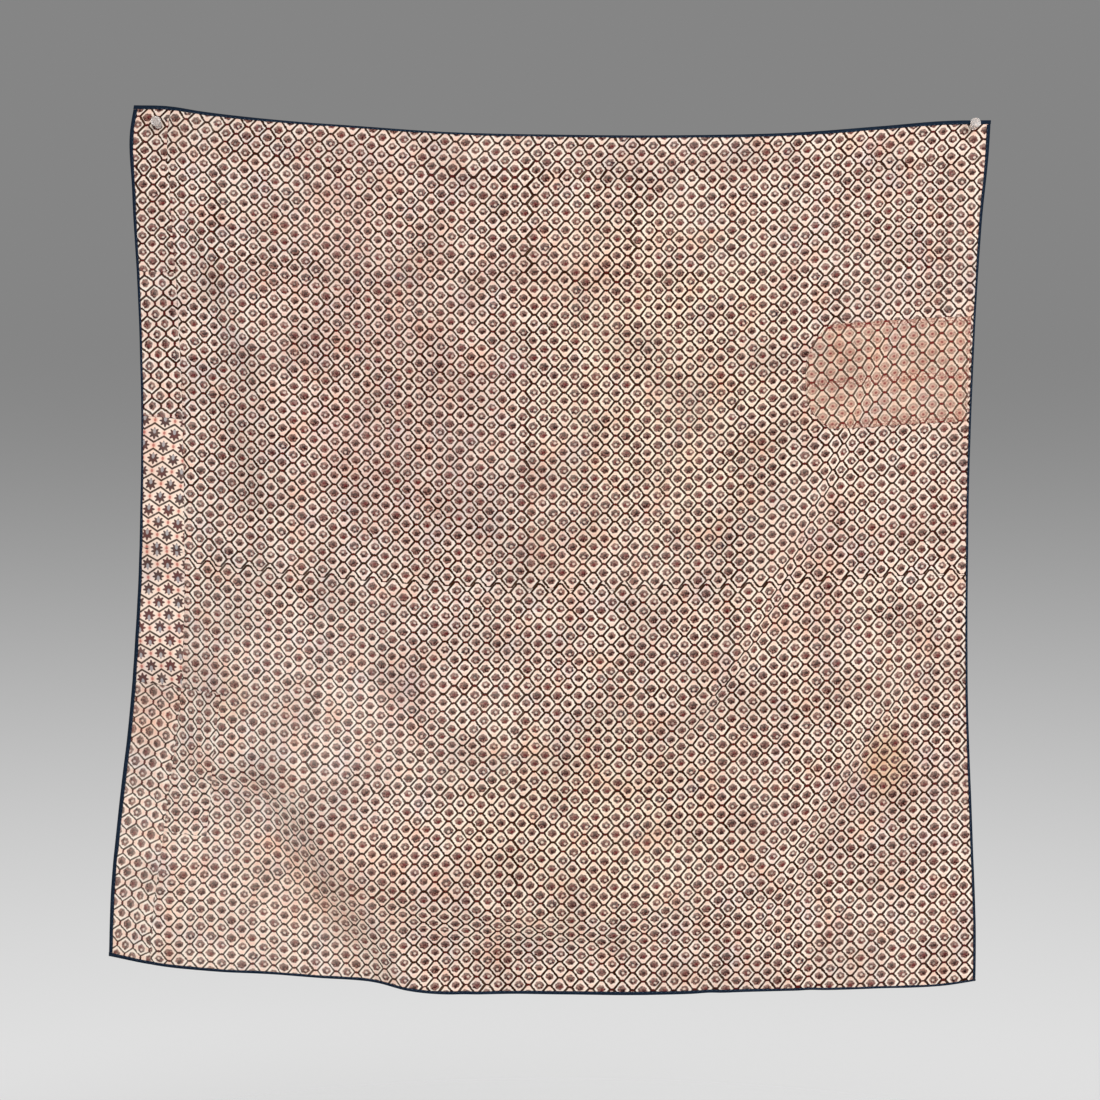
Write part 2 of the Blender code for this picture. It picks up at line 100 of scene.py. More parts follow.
# The piece let in beside the strip, and the sewn patch, both in shares across the main
# cloth and down the hanging. The patch's left side is drawn in by the share round at its corners.
LET_IN = {"across": 0.053, "top": 0.676, "bottom": 0.845}
PATCH = {"left": 0.787, "top": 0.2285, "bottom": 0.350, "round": 0.030}

# About the hanging's height, and the main cloth's own width and height, in metres
HANGING_HEIGHT = 0.86
FIELD_WIDTH, FIELD_HEIGHT = 0.80, 0.87

# How far a cloth stops short of the binding's fold, and of the next cloth at a seam
RIM_INSET = 1.0 * MM
SEAM_GAP = 0.05 * MM
FIELD_SEAM_GAP = 0.06 * MM

# The hanging folds. A path runs along the crest, with its steep side on the right of the way
# it runs. rise is the crest's height, or the depth of a trough where it is negative; inner and
# outer are the reach on the left and right, in millimetres; fade_in and fade_out are the shares
# of the path over which the fold grows from nothing and dies away.
Fold = namedtuple("Fold", "path rise inner outer fade_in fade_out")
FOLDS = {
    "outer_swag": Fold([(-403, -23), (-350, -203), (-305, -453), (-262, -643), (-160, -743),
                        (-10, -768), (125, -741), (230, -640), (300, -423), (362, -203),
                        (403, -23)], 17, 110, 50, 0.66, 0.55),
    "left_hip": Fold([(-400, -618), (-350, -627), (-300, -636), (-262, -660), (-240, -705),
                      (-222, -748), (-190, -782), (-165, -822), (-148, -880)],
                     18, 80, 28, 0.14, 0.0),
    "low_swag": Fold([(-235, -690), (-170, -745), (-80, -772), (20, -775), (110, -757),
                      (190, -715)], 17, 58, 31, 0.35, 0.6),
    "middle_swag": Fold([(-265, -328), (-220, -413), (-180, -498), (-145, -563), (-108, -598),
                         (-45, -615), (35, -615), (95, -593)], 10, 60, 21, 0.55, 0.4),
    "right_crease": Fold([(-30, -662), (60, -640), (122, -585), (178, -505), (224, -410),
                          (255, -340), (297, -235), (345, -140), (392, -35)],
                         16, 75, 14, 0.30, 0.50),
    "right_flank": Fold([(165, -860), (212, -730), (280, -612), (366, -470), (402, -380)],
                        11, 70, 25, 0.15, 0.45),
    "upper_swag": Fold([(-235, -290), (-180, -385), (-110, -435), (0, -441), (110, -425),
                        (190, -355)], 5, 60, 30, 0.4, 0.4),
    "left_fold_high": Fold([(-382, -35), (-345, -130), (-315, -215), (-284, -290), (-252, -395),
                            (-230, -480)], 10, 45, 17, 0.30, 0.55),
    "left_fold_low": Fold([(-364, -215), (-320, -300), (-290, -380), (-268, -455)],
                          8, 30, 15, 0.40, 0.45),
    "left_hollow": Fold([(-420, -440), (-390, -500), (-360, -570), (-344, -632)],
                        3, 34, 50, 0.35, 0.40),
    "corner_swell": Fold([(-450, -795), (-370, -822), (-285, -858)], 7, 60, 30, 0.25, 0.35),
    "mid_ripple": Fold([(-8, -90), (-6, -220), (0, -350)], 2.5, 18, 14, 0.35, 0.35),
    "right_ripple": Fold([(268, -330), (272, -450), (262, -560)], 4, 38, 22, 0.35, 0.35),
}

# Fine creases that lie between the folds, in the same terms
CREASES = {
    "hem_dip_middle": Fold([(150, -800), (146, -835), (143, -880)], -2.2, 9, 12, 0.5, 0.0),
    "hem_dip_right": Fold([(252, -812), (246, -842), (244, -880)], -1.8, 10, 9, 0.5, 0.0),
    "hem_dip_left": Fold([(-95, -806), (-100, -838), (-102, -880)], -1.5, 12, 10, 0.5, 0.0),
    "hip_crease": Fold([(-330, -640), (-300, -668), (-285, -712), (-262, -748)],
                       -1.6, 7, 8, 0.3, 0.4),
    "left_pull_high": Fold([(-392, -20), (-372, -80), (-352, -160), (-338, -240)],
                           1.3, 9, 8, 0.15, 0.6),
    "left_pull_low": Fold([(-398, -40), (-392, -130), (-380, -230), (-372, -330)],
                          1.1, 10, 8, 0.15, 0.6),
    "right_pull_high": Fold([(398, -28), (372, -70), (330, -150), (300, -205)],
                            1.2, 8, 9, 0.15, 0.6),
    "right_pull_low": Fold([(402, -30), (392, -110), (374, -210), (356, -300)],
                           1.4, 9, 8, 0.15, 0.6),
    "belly_crease": Fold([(-150, -690), (-60, -712), (40, -712), (120, -690)],
                         -1.5, 12, 9, 0.4, 0.4),
    "low_ripple": Fold([(-40, -800), (40, -806), (120, -795)], 1.8, 16, 12, 0.4, 0.4),
    "right_shadow": Fold([(176, -520), (222, -425), (252, -355)], -1.6, 8, 7, 0.35, 0.35),
}

# Pieces in which a fold's path is followed, and how many reaches from it a fold ends
PATH_STEPS = 48
FOLD_CUT_OFF = 2.6


class ClothSettings(bpy.types.PropertyGroup):
    thickness: FloatProperty(name="Thickness", description="Thickness of the cotton",
                             default=0.7 * MM, min=0.1 * MM, unit="LENGTH")
    patch_thickness: FloatProperty(name="Patch thickness", description="Thickness of the patch",
                                   default=0.5 * MM, min=0.1 * MM, unit="LENGTH")
    mesh_pitch: FloatProperty(name="Mesh pitch", description="Spacing of the cloths' mesh lines",
                              default=5.0 * MM, min=2.0 * MM, unit="LENGTH")
    ripple: FloatProperty(name="Ripple", description="Height of the soft unevenness of the hang",
                          default=1.3 * MM, min=0.0, unit="LENGTH")
    seam_dip: FloatProperty(name="Seam dip", description="Depth to which a seam draws the cloth in",
                            default=0.35 * MM, min=0.0, unit="LENGTH")
    repeat_across: FloatProperty(name="Repeat across", description="Width of the print's repeat",
                                 default=20.8 * MM, min=5 * MM, unit="LENGTH")
    repeat_down: FloatProperty(name="Repeat down", description="Height of the print's repeat",
                               default=17.1 * MM, min=5 * MM, unit="LENGTH")
    ground: FloatVectorProperty(name="Ground", description="Colour of the unprinted cotton",
                                subtype="COLOR", default=(0.87, 0.77, 0.66), min=0, max=1)
    blush: FloatVectorProperty(name="Pink wash", description="Colour of the pink dye in the cells",
                               subtype="COLOR", default=(0.96, 0.72, 0.66), min=0, max=1)
    line_ink: FloatVectorProperty(name="Outline ink", description="Colour of the trellis lines",
                                  subtype="COLOR", default=(0.028, 0.008, 0.003), min=0, max=1)
    knot_ink: FloatVectorProperty(name="Knot ink", description="Colour of the dots on the trellis",
                                  subtype="COLOR", default=(0.090, 0.012, 0.010), min=0, max=1)
    flower_ink: FloatVectorProperty(name="Flower ink", description="Colour of the small flowers",
                                    subtype="COLOR", default=(0.034, 0.007, 0.006), min=0, max=1)
    red_ink: FloatVectorProperty(name="Red ink", description="Colour of the redder flowers",
                                 subtype="COLOR", default=(0.13, 0.014, 0.016), min=0, max=1)


class BindingSettings(bpy.types.PropertyGroup):
    wall: FloatProperty(name="Tape thickness", description="Thickness of the binding tape",
                        default=0.4 * MM, min=0.1 * MM, unit="LENGTH")
    clearance: FloatProperty(name="Clearance", description="Space between the tape and the cotton",
                             default=0.1 * MM, min=0.0, unit="LENGTH")
    pitch: FloatProperty(name="Mesh pitch", description="Spacing of the tape's sections",
                         default=3.0 * MM, min=1.0 * MM, unit="LENGTH")
    navy: FloatVectorProperty(name="Navy", description="Colour of the binding tape",
                              subtype="COLOR", default=(0.007, 0.014, 0.027), min=0, max=1)


class StitchSettings(bpy.types.PropertyGroup):
    hem_pitch: FloatProperty(name="Hem stitch pitch", description="Spacing along the binding",
                             default=4.6 * MM, min=1 * MM, unit="LENGTH")
    seam_pitch: FloatProperty(name="Seam stitch pitch", description="Spacing along the seams",
                              default=5.5 * MM, min=1 * MM, unit="LENGTH")
    patch_pitch: FloatProperty(name="Patch stitch pitch", description="Spacing round the patch",
                               default=4.2 * MM, min=1 * MM, unit="LENGTH")
    length: FloatProperty(name="Stitch length", description="Length of one stitch",
                          default=2.4 * MM, min=0.5 * MM, unit="LENGTH")
    thread: FloatProperty(name="Thread", description="Radius of the sewing thread",
                          default=0.22 * MM, min=0.05 * MM, unit="LENGTH")
    seed: IntProperty(name="Seed", description="Seed of the stitches' unevenness", default=7)


class PinSettings(bpy.types.PropertyGroup):
    span: FloatProperty(name="Span", description="Distance between the two pins",
                        default=814.0 * MM, min=0.0, unit="LENGTH")
    step: FloatProperty(name="Step", description="Height of each pin off the level line",
                        default=1.0 * MM, unit="LENGTH")
    tilt: FloatProperty(name="Tilt", description="Lean of the pins, head upwards",
                        default=math.radians(8.0), subtype="ANGLE")
    sides: IntProperty(name="Sides", description="Faces round a pin", default=48, min=12)
    plastic: FloatVectorProperty(name="Plastic", description="Colour of the moulded bodies",
                                 subtype="COLOR", default=(0.94, 0.89, 0.86), min=0, max=1)


class StageSettings(bpy.types.PropertyGroup):
    distance: FloatProperty(name="Camera distance", description="From the lens to the cloth",
                            default=1.6, min=0.5, unit="LENGTH")
    view_width: FloatProperty(name="View width", description="Width of the view at the cloth",
                              default=1.094, min=0.1, unit="LENGTH")
    floor_drop: FloatProperty(name="Floor drop", description="From the origin down to the floor",
                              default=1.45, min=0.9, unit="LENGTH")
    key_light: FloatProperty(name="Key light", description="Power of the soft light, in watts",
                             default=108.0, min=0.0)
    fill_light: FloatProperty(name="Fill light", description="Brightness of the even light",
                              default=0.70, min=0.0)
    grey_high: FloatProperty(name="Upper grey", description="Brightness behind the top",
                             default=0.235, min=0.0, max=1.0)
    grey_low: FloatProperty(name="Lower grey", description="Brightness behind the bottom",
                            default=0.76, min=0.0, max=1.0)


# The hung surface

def smooth_curve(points):
    """Returns a function that gives the place on a smooth curve at a share of its chord length."""
    points = np.array(points, dtype=float) * MM
    chord = np.linalg.norm(np.diff(points, axis=0), axis=1)
    knots = np.concatenate([[0.0], np.cumsum(chord)]) / chord.sum()
    slopes = np.gradient(points, knots, axis=0)

    def curve(share):
        share = np.clip(np.asarray(share, dtype=float), 0.0, 1.0)
        k = np.clip(np.searchsorted(knots, share, side="right") - 1, 0, len(knots) - 2)
        span = (knots[k + 1] - knots[k])[..., None]
        t = (share - knots[k])[..., None] / span
        ease = t * t * (3 - 2 * t)
        place = points[k] * (1 - ease) + points[k + 1] * ease
        bend = slopes[k] * t * (1 - t) ** 2 - slopes[k + 1] * t * t * (1 - t)
        return place + bend * span

    return curve


EDGES = {name: smooth_curve(points) for name, points in
         [("top", TOP_EDGE), ("bottom", BOTTOM_EDGE), ("left", LEFT_EDGE), ("right", RIGHT_EDGE)]}
FOLD_LINES = {name: smooth_curve(fold.path)(np.linspace(0, 1, PATH_STEPS))
              for name, fold in {**FOLDS, **CREASES}.items()}


def flat_place(across, down):
    """x, z on the front view, for shares across and down, blended from the four edges."""
    s = across[..., None]
    v = down[..., None]
    rims = ((1 - v) * EDGES["top"](across) + v * EDGES["bottom"](across)
            + (1 - s) * EDGES["left"](down) + s * EDGES["right"](down))
    corners = ((1 - s) * (1 - v) * EDGES["top"](0.0) + s * (1 - v) * EDGES["top"](1.0)
               + (1 - s) * v * EDGES["bottom"](0.0) + s * v * EDGES["bottom"](1.0))
    place = rims - corners
    return place[..., 0], place[..., 1]


def ease_in(share, reach):
    """0 at share 0, 1 from share reach on, with a soft start and end."""
    if reach <= 0:
        return np.ones_like(share)
    t = np.clip(share / reach, 0.0, 1.0)
    return t * t * (3 - 2 * t)


def fold_height(name, fold, x, z):
    """How far one fold stands out from the wall at the places x, z."""
    line = FOLD_LINES[name]
    start = line[:-1]
    run = line[1:] - start
    far = max(fold.inner, fold.outer) * MM * FOLD_CUT_OFF
    low, high = line.min(axis=0) - far, line.max(axis=0) + far
    close = (x > low[0]) & (x < high[0]) & (z > low[1]) & (z < high[1])
    off_x = x[close][:, None] - start[:, 0]
    off_z = z[close][:, None] - start[:, 1]
    along = np.clip((off_x * run[:, 0] + off_z * run[:, 1]) / (run ** 2).sum(axis=1), 0.0, 1.0)
    distance = np.hypot(off_x - along * run[:, 0], off_z - along * run[:, 1])
    near = distance.argmin(axis=1)
    row = np.arange(len(near))
    side = run[near, 0] * off_z[row, near] - run[near, 1] * off_x[row, near]
    share = (along[row, near] + near) / len(run)
    reach = np.where(side > 0, fold.inner, fold.outer) * MM
    height = np.zeros_like(x)
    height[close] = (fold.rise * MM * np.exp(-(distance[row, near] / reach) ** 2)
                     * ease_in(share, fold.fade_in) * ease_in(1 - share, fold.fade_out))
    return height


def soft_noise(x, z, wavelength, seed):
    """Smooth noise from -1 to 1 over the front view."""
    places = zip(x.ravel() / wavelength, z.ravel() / wavelength)
    return np.array([noise.noise((a, b, seed)) for a, b in places]).reshape(x.shape)


def hung_point(across, down):
    """Middle of the cloth's thickness, for shares across and down."""
    across, down = np.broadcast_arrays(np.asarray(across, float), np.asarray(down, float))
    x, z = flat_place(across, down)
    depth = np.full_like(x, BACK_ROOM)
    for name, fold in {**FOLDS, **CREASES}.items():
        depth = depth + fold_height(name, fold, x, z)
    ripple = bpy.context.scene.hanging_cloth.ripple
    unevenness = 0.7 * soft_noise(x, z, 62 * MM, 3.7) + 0.3 * soft_noise(x, z, 27 * MM, 8.2)
    still = ease_in(down, 0.05)
    return np.stack([x, -depth - ripple * (0.5 + unevenness) * still, z], axis=-1)


def hung_normal(across, down, step=2e-3):
    """Unit normal towards the front, for shares across and down."""
    side = hung_point(across + step, down) - hung_point(across - step, down)
    fall = hung_point(across, down + step) - hung_point(across, down - step)
    normal = np.cross(fall, side)
    normal /= np.linalg.norm(normal, axis=-1, keepdims=True)
    return np.where(normal[..., 1:2] > 0, -normal, normal)


def cloth_width(down):
    """Width of the cloth on the front view, at a share down."""
    return np.linalg.norm(EDGES["right"](down) - EDGES["left"](down), axis=-1)


def cloth_height(across):
    """Height of the cloth on the front view, at a share across."""
    return np.linalg.norm(EDGES["bottom"](across) - EDGES["top"](across), axis=-1)


def binding_width(side, share):
    """Width of the solid binding, at shares along a side."""
    widths = BINDING_WIDTHS[side]
    return np.interp(share, np.linspace(0, 1, len(widths)), widths) * MM


def tape_width(side, share):
    """Width of the finished tape, which is a little narrower than its solid."""
    less = np.interp(share, (0, 1), (2.9, 1.2)) if side == "top" else 2.2
    return binding_width(side, share) - less * MM


def seam_share(down):
    """Share across at which the strip's long seam runs."""
    shares, widths = zip(*STRIP_WIDTHS)
    return np.interp(down, shares, widths) * MM / cloth_width(down)


def field_share(inner, down):
    """Share across the hanging, for a share across the main cloth alone."""
    seam = seam_share(down)
    return seam + (1 - seam) * inner


def patch_left(down):
    """Share across the main cloth where the patch starts, drawn in towards its corners."""
    middle, half = (PATCH["top"] + PATCH["bottom"]) / 2, (PATCH["bottom"] - PATCH["top"]) / 2
    return PATCH["left"] + PATCH["round"] * np.abs((down - middle) / half) ** 3


def seam_distance(across, down):
    """Distance along the cloth to its nearest seam."""
    width, height, seam = cloth_width(down), cloth_height(across), seam_share(down)
    past_seam = (across - seam) * width
    distance = np.abs(past_seam)
    for share in STRIP_BREAKS:
        to_break = np.hypot(np.abs(down - share) * height, np.maximum(past_seam, 0))
        distance = np.minimum(distance, to_break)
    let_in_width = LET_IN["across"] * (1 - seam) * width
    past_top = (LET_IN["top"] - down) * height
    past_bottom = (down - LET_IN["bottom"]) * height
    past_side = past_seam - let_in_width
    beyond = np.maximum(np.maximum(past_top, past_bottom), 0)
    distance = np.minimum(distance, np.hypot(past_side, beyond))
    for past_end in (past_top, past_bottom):
        beyond = np.maximum(np.maximum(past_side, -past_seam), 0)
        distance = np.minimum(distance, np.hypot(past_end, beyond))
    return distance


def cloth_place(across, down, height):
    """Points at a height in front of the middle of the cloth, drawn in along the seams."""
    across, down = np.broadcast_arrays(np.asarray(across, float), np.asarray(down, float))
    middle = hung_point(across, down)
    pucker = 1 + 0.8 * soft_noise(middle[..., 0], middle[..., 2], 11 * MM, 1.3)
    dip = bpy.context.scene.hanging_cloth.seam_dip * pucker
    dip = dip * np.exp(-(seam_distance(across, down) / (2.4 * MM)) ** 2)
    return middle + hung_normal(across, down) * (height - dip)[..., None]


def flat_cloth_map():
    """Lengths along the hung cloth on an even net: across from the middle, down from the top."""
    shares = np.linspace(0, 1, 201)
    places = hung_point(*np.meshgrid(shares, shares))
    steps_across = np.linalg.norm(np.diff(places, axis=1), axis=-1)
    steps_down = np.linalg.norm(np.diff(places, axis=0), axis=-1)
    across = np.pad(np.cumsum(steps_across, axis=1), ((0, 0), (1, 0)))
    down = np.pad(np.cumsum(steps_down, axis=0), ((1, 0), (0, 0)))
    middle = len(shares) // 2
    return np.stack([across - across[:, middle:middle + 1], down], axis=-1)


def flat_position(across, down, net):
    """Place on the flat cloth, for shares across and down, read from the even net."""
    last = len(net) - 1
    column = np.clip(across * last, 0, last - 1e-6)
    row = np.clip(down * last, 0, last - 1e-6)
    c, r = column.astype(int), row.astype(int)
    p, q = (column - c)[..., None], (row - r)[..., None]
    upper = net[r, c] * (1 - p) + net[r, c + 1] * p
    lower = net[r + 1, c] * (1 - p) + net[r + 1, c + 1] * p
    return upper * (1 - q) + lower * q


# Meshes

def add_piece(name, mesh, *materials):
    """A new object whose place is in its mesh."""
    for material in materials:
        mesh.materials.append(material)
    piece = bpy.data.objects.new(name, mesh)
    bpy.context.scene.collection.objects.link(piece)
    return piece


def settled(piece, slot, *nodes):
    """Sets a finished piece on the part: its body, its slot and the nodes it stands for."""
    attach(piece, BODY)
    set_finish(piece, slot)
    if nodes:
        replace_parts(piece, *nodes)
    return piece


def even_lines(length, pitch, marks=()):
    """Shares from 0 to 1 at about the pitch, through the marks, and closer beside each end."""
    close = [reach * MM / length for reach in (0.9, 2.0, 3.4)]
    ends = sorted({0.0, 1.0, *marks})
    lines = set(ends)
    for low, high in zip(ends, ends[1:]):
        first, last = low + close[-1], high - close[-1]
        lines.update(low + c for c in close)
        lines.update(high - c for c in close)
        count = max(1, round((last - first) * length / pitch))
        lines.update(first + (last - first) * k / count for k in range(1, count))
    return np.array(sorted(lines))


def sheet_piece(name, across, down, height, thickness, materials, skip=None):
    """A sheet of cloth over a net of shares, thickened both ways, with its flat place as its UV."""
    rows, columns = across.shape
    places = cloth_place(across, down, height).reshape(-1, 3)
    flat = flat_position(across, down, flat_net()).reshape(-1, 2)
    corners = np.arange(rows * columns).reshape(rows, columns)
    faces = np.stack([corners[:-1, :-1], corners[1:, :-1], corners[1:, 1:], corners[:-1, 1:]],
                     axis=-1)
    kept = np.ones(faces.shape[:2], dtype=bool) if skip is None else ~skip
    faces = faces[kept]
    used, numbers = np.unique(faces, return_inverse=True)
    numbers = numbers.reshape(faces.shape)
    mesh = bpy.data.meshes.new(name)
    mesh.from_pydata(places[used].tolist(), [], numbers.tolist())
    layer = mesh.uv_layers.new(name=FLAT_MAP)
    layer.uv.foreach_set("vector", (flat[used][numbers.ravel()] * (1, -1)).ravel())
    mesh.shade_smooth()
    piece = add_piece(name, mesh, *materials)
    net = flat.reshape(rows, columns, 2)
    steps = [np.linalg.norm(np.diff(net, axis=way), axis=-1) for way in (1, 0)]
    piece["flat_size"] = [float(steps[0].sum(axis=1).mean()), float(steps[1].sum(axis=0).mean())]
    solid = piece.modifiers.new("thickness", "SOLIDIFY")
    solid.thickness = thickness
    solid.offset = 0.0
    solid.material_offset = 1
    solid.material_offset_rim = 0
    return piece


_flat_net = []


def flat_net():
    """The net of the flat cloth, worked out once."""
    if not _flat_net:
        _flat_net.append(flat_cloth_map())
    return _flat_net[0]


# Shader formulas

class Reading:
    """A number on a shader socket, so that a pattern can be written as a formula."""

    def __init__(self, tree, socket):
        self.tree = tree
        self.socket = socket

    def worked(self, operation, *others):
        node = self.tree.nodes.new("ShaderNodeMath")
        node.operation = operation
        for slot, value in zip(node.inputs, (self, *others)):
            feed(self.tree, slot, value)
        return Reading(self.tree, node.outputs[0])

    def __add__(self, other):
        return self.worked("ADD", other)

    def __sub__(self, other):
        return self.worked("SUBTRACT", other)

    def __rsub__(self, other):
        return self * -1 + other

    def __mul__(self, other):
        return self.worked("MULTIPLY", other)

    def __truediv__(self, other):
        return self.worked("DIVIDE", other)

    __radd__ = __add__
    __rmul__ = __mul__

    def __abs__(self):
        return self.worked("ABSOLUTE")

    def floor(self):
        return self.worked("FLOOR")

    def least(self, other):
        return self.worked("MINIMUM", other)

    def most(self, other):
        return self.worked("MAXIMUM", other)

    def above(self, other):
        return self.worked("GREATER_THAN", other)


def feed(tree, slot, value):
    """Sets a socket to a number or colour, or links a reading or another socket to it."""
    if isinstance(value, Reading):
        tree.links.new(value.socket, slot)
    elif isinstance(value, bpy.types.NodeSocket):
        tree.links.new(value, slot)
    elif hasattr(value, "__len__") and len(slot.default_value) == 4 and len(value) == 3:
        slot.default_value = (*value, 1.0)
    else:
        slot.default_value = value


def rise(value, low, high):
    """0 below low and 1 above high, with a soft change between them."""
    tree = value.tree
    node = tree.nodes.new("ShaderNodeMapRange")
    node.interpolation_type = "SMOOTHSTEP"
    for name, setting in (("Value", value), ("From Min", low), ("From Max", high)):
        feed(tree, node.inputs[name], setting)
    return Reading(tree, node.outputs["Result"])


def blended(first, second, share):
    """first where share is 0 and second where it is 1."""
    return first + (second - first) * share


def tinted(tree, under, over, share, kind="MIX"):
    """Colour over laid on colour under, by a share."""
    node = tree.nodes.new("ShaderNodeMix")
    node.data_type = "RGBA"
    node.blend_type = kind
    feed(tree, node.inputs["Factor"], share)
    feed(tree, node.inputs[6], under)
    feed(tree, node.inputs[7], over)
    return node.outputs[2]


def together(tree, x, y, z=0.0):
    """A vector of three numbers."""
    node = tree.nodes.new("ShaderNodeCombineXYZ")
    for slot, value in zip(node.inputs, (x, y, z)):
        feed(tree, slot, value)
    return node.outputs[0]


def chances(tree, x, y, seed):
    """Three numbers from 0 to 1 that are the same all over one cell."""
    node = tree.nodes.new("ShaderNodeTexWhiteNoise")
    node.noise_dimensions = "3D"
    tree.links.new(together(tree, x, y, seed), node.inputs["Vector"])
    parts = tree.nodes.new("ShaderNodeSeparateColor")
    tree.links.new(node.outputs["Color"], parts.inputs[0])
    return [Reading(tree, output) for output in parts.outputs]


def cloudy(tree, place, size, detail=2.0, seed=0.0):
    """Soft noise, about 0 to 1 with its middle at 0.5, whose clouds have the given size."""
    node = tree.nodes.new("ShaderNodeTexNoise")
    node.noise_dimensions = "4D"
    feed(tree, node.inputs["Vector"], place)
    node.inputs["Scale"].default_value = 1.0 / size
    node.inputs["Detail"].default_value = detail
    node.inputs["W"].default_value = seed
    return node


def clouds(tree, place, size, detail=2.0, seed=0.0):
    """The same soft noise as a number to reckon with."""
    return Reading(tree, cloudy(tree, place, size, detail, seed).outputs["Fac"])


def new_material(name):
    """A material, with its node tree and its shader."""
    material = bpy.data.materials.new(name)
    material.use_nodes = True
    tree = material.node_tree
    return material, tree, tree.nodes["Principled BSDF"]


def flat_reading(tree):
    """Place on the flat cloth in millimetres, across and down, and as a vector."""
    flat = tree.nodes.new("ShaderNodeUVMap")
    flat.uv_map = FLAT_MAP
    parts = tree.nodes.new("ShaderNodeSeparateXYZ")
    tree.links.new(flat.outputs[0], parts.inputs[0])
    across = Reading(tree, parts.outputs[0]) * (1 / MM)
    down = Reading(tree, parts.outputs[1]) * (-1 / MM)
    return across, down, flat.outputs[0]


def turned(across, down, degrees, start):
    """A place measured from a start and turned, in millimetres."""
    c, s = math.cos(math.radians(degrees)), math.sin(math.radians(degrees))
    x, y = across - start[0], down - start[1]
    return x * c + y * s, y * c - x * s


# Half width of a trellis cell at its side corners and half length of its short top, as shares
# of the repeat across
CELL_SIDE = 0.416
CELL_TOP = 0.084

# Cells that one block prints, and the cells by which its joins lie off the first cell, across
# and down
BLOCK_CELLS = (5, 6)
BLOCK_JOIN = (0.6, 0.3)

# The lower part of the main cloth is printed with a shift: its first row of blocks, the band in
# which it starts and the shift across and down, in millimetres
LOWER_ROW = 4
LOWER_BAND = (455, 457)
LOWER_SHIFT = (-1.2, 4.2)

# Colours of the print beside those of the settings
WORN_LINE = (0.060, 0.030, 0.016)
GREY_FLOWER = (0.020, 0.012, 0.020)
THIN_INK = (0.29, 0.145, 0.115)
BLACK_SPOT = (0.012, 0.003, 0.003)
FADED = {"ground": (0.79, 0.66, 0.53), "line": (0.11, 0.058, 0.036), "knot": (0.17, 0.022, 0.018),
         "petal": (0.53, 0.27, 0.20), "ring": (0.15, 0.085, 0.058), "core": (0.16, 0.008, 0.012),
         "dab": (0.21, 0.024, 0.022)}

# Places of the rows of red dabs across the faded patch, in millimetres down the flat cloth
FADED_DAB_ROWS = (200, 256, 301)

# Colour of the navy tape where it is worn
WORN_NAVY = (0.014, 0.025, 0.044)

# Strength of a print where it shows through on the back
SHOW_THROUGH = 0.42


def lattice_cell(tree, x, y, column, row, look, repeat, wear):
    """Masks of one trellis cell, with its column and row, at a place on the flat cloth."""
    block_column = ((column + BLOCK_JOIN[0]) / BLOCK_CELLS[0]).floor()
    block_row = ((row + BLOCK_JOIN[1]) / BLOCK_CELLS[1]).floor()
    slip = chances(tree, block_column, block_row, look.start[0] + 0.5)
    own = chances(tree, column, row, look.start[1] + 0.5)
    lower = rise(block_row, LOWER_ROW - 0.6, LOWER_ROW - 0.4)
    x = x - column * repeat[0] - (slip[0] - 0.5) * look.slip * 0.4 - lower * LOWER_SHIFT[0]
    y = y - row * repeat[1] - (slip[1] - 0.5) * look.slip * 1.4 - lower * LOWER_SHIFT[1]
    # Distances in from the slanting sides and from the short top and bottom
    side, top, half = CELL_SIDE * repeat[0], CELL_TOP * repeat[0], repeat[1] / 2
    slope = math.hypot(half, side - top)
    inside = (side * half - abs(x) * half - abs(y) * (side - top)) / slope
    ends = half - abs(y)
    trellis = rise(wear - abs(inside), -1.46, -0.78) * rise(ends, -0.9, -0.5)
    dot = x * x / 5.2 + ends * ends / 1.6
    knot = rise(dot * -1, -1.3, -0.5)
    # A flower of six faint petals, a little off its place, between round and four-cornered
    x = (x - (own[0] - 0.5) * 1.2) * 0.93
    y = (y - (own[1] - 0.5) * 1.2) * 1.06
    radius = (x * x + y * y).worked("SQRT") * 0.8 + (abs(x) * 0.18 + abs(y) * 0.20)
    petals = (y.worked("ARCTAN2", x) * 6 + own[2] * 6.28).worked("COSINE")
    reach = petals * 0.26 + own[1] * 0.7 + 3.85 * look.flower
    flower = rise(reach - radius, -0.75, 0.65)
    shade = rise(x * 0.4 + y, -3.2, 2.2) * 0.14 + 0.86
    flower = flower * shade
    # The unprinted heart of some flowers, and the core, ring and spot of another colour
    off_x, off_y = x - own[2] * 1.8 + 0.5, y - own[1] * 1.8 + 0.7
    centre = (off_x * off_x + off_y * off_y).worked("SQRT")
    heart = rise(1.30 - centre, -0.5, 0.6) * rise(own[0], 0.45, 0.65)
    core = rise((x * x + y * y).worked("SQRT") * -1, -2.4, -0.5)
    ring = rise(abs(radius - 3.4) * -1, -1.5, -0.5)
    spot_x, spot_y = x + own[0] * 2.6 - 1.3, y + own[1] * 2.6 - 1.5
    spot = rise((spot_x * spot_x + spot_y * spot_y) * -1, -4.6, -1.0)
    blush = rise(inside, 1.5, 2.8)
    corner = rise(abs(y), half * 0.42, half * 0.72) * rise(inside, 0.5, 1.0)
    return {"inside": inside.least(ends), "trellis": trellis, "knot": knot, "flower": flower,
            "heart": heart, "core": core, "ring": ring, "spot": spot, "blush": blush,
            "corner": corner, "own": own, "slip": slip}


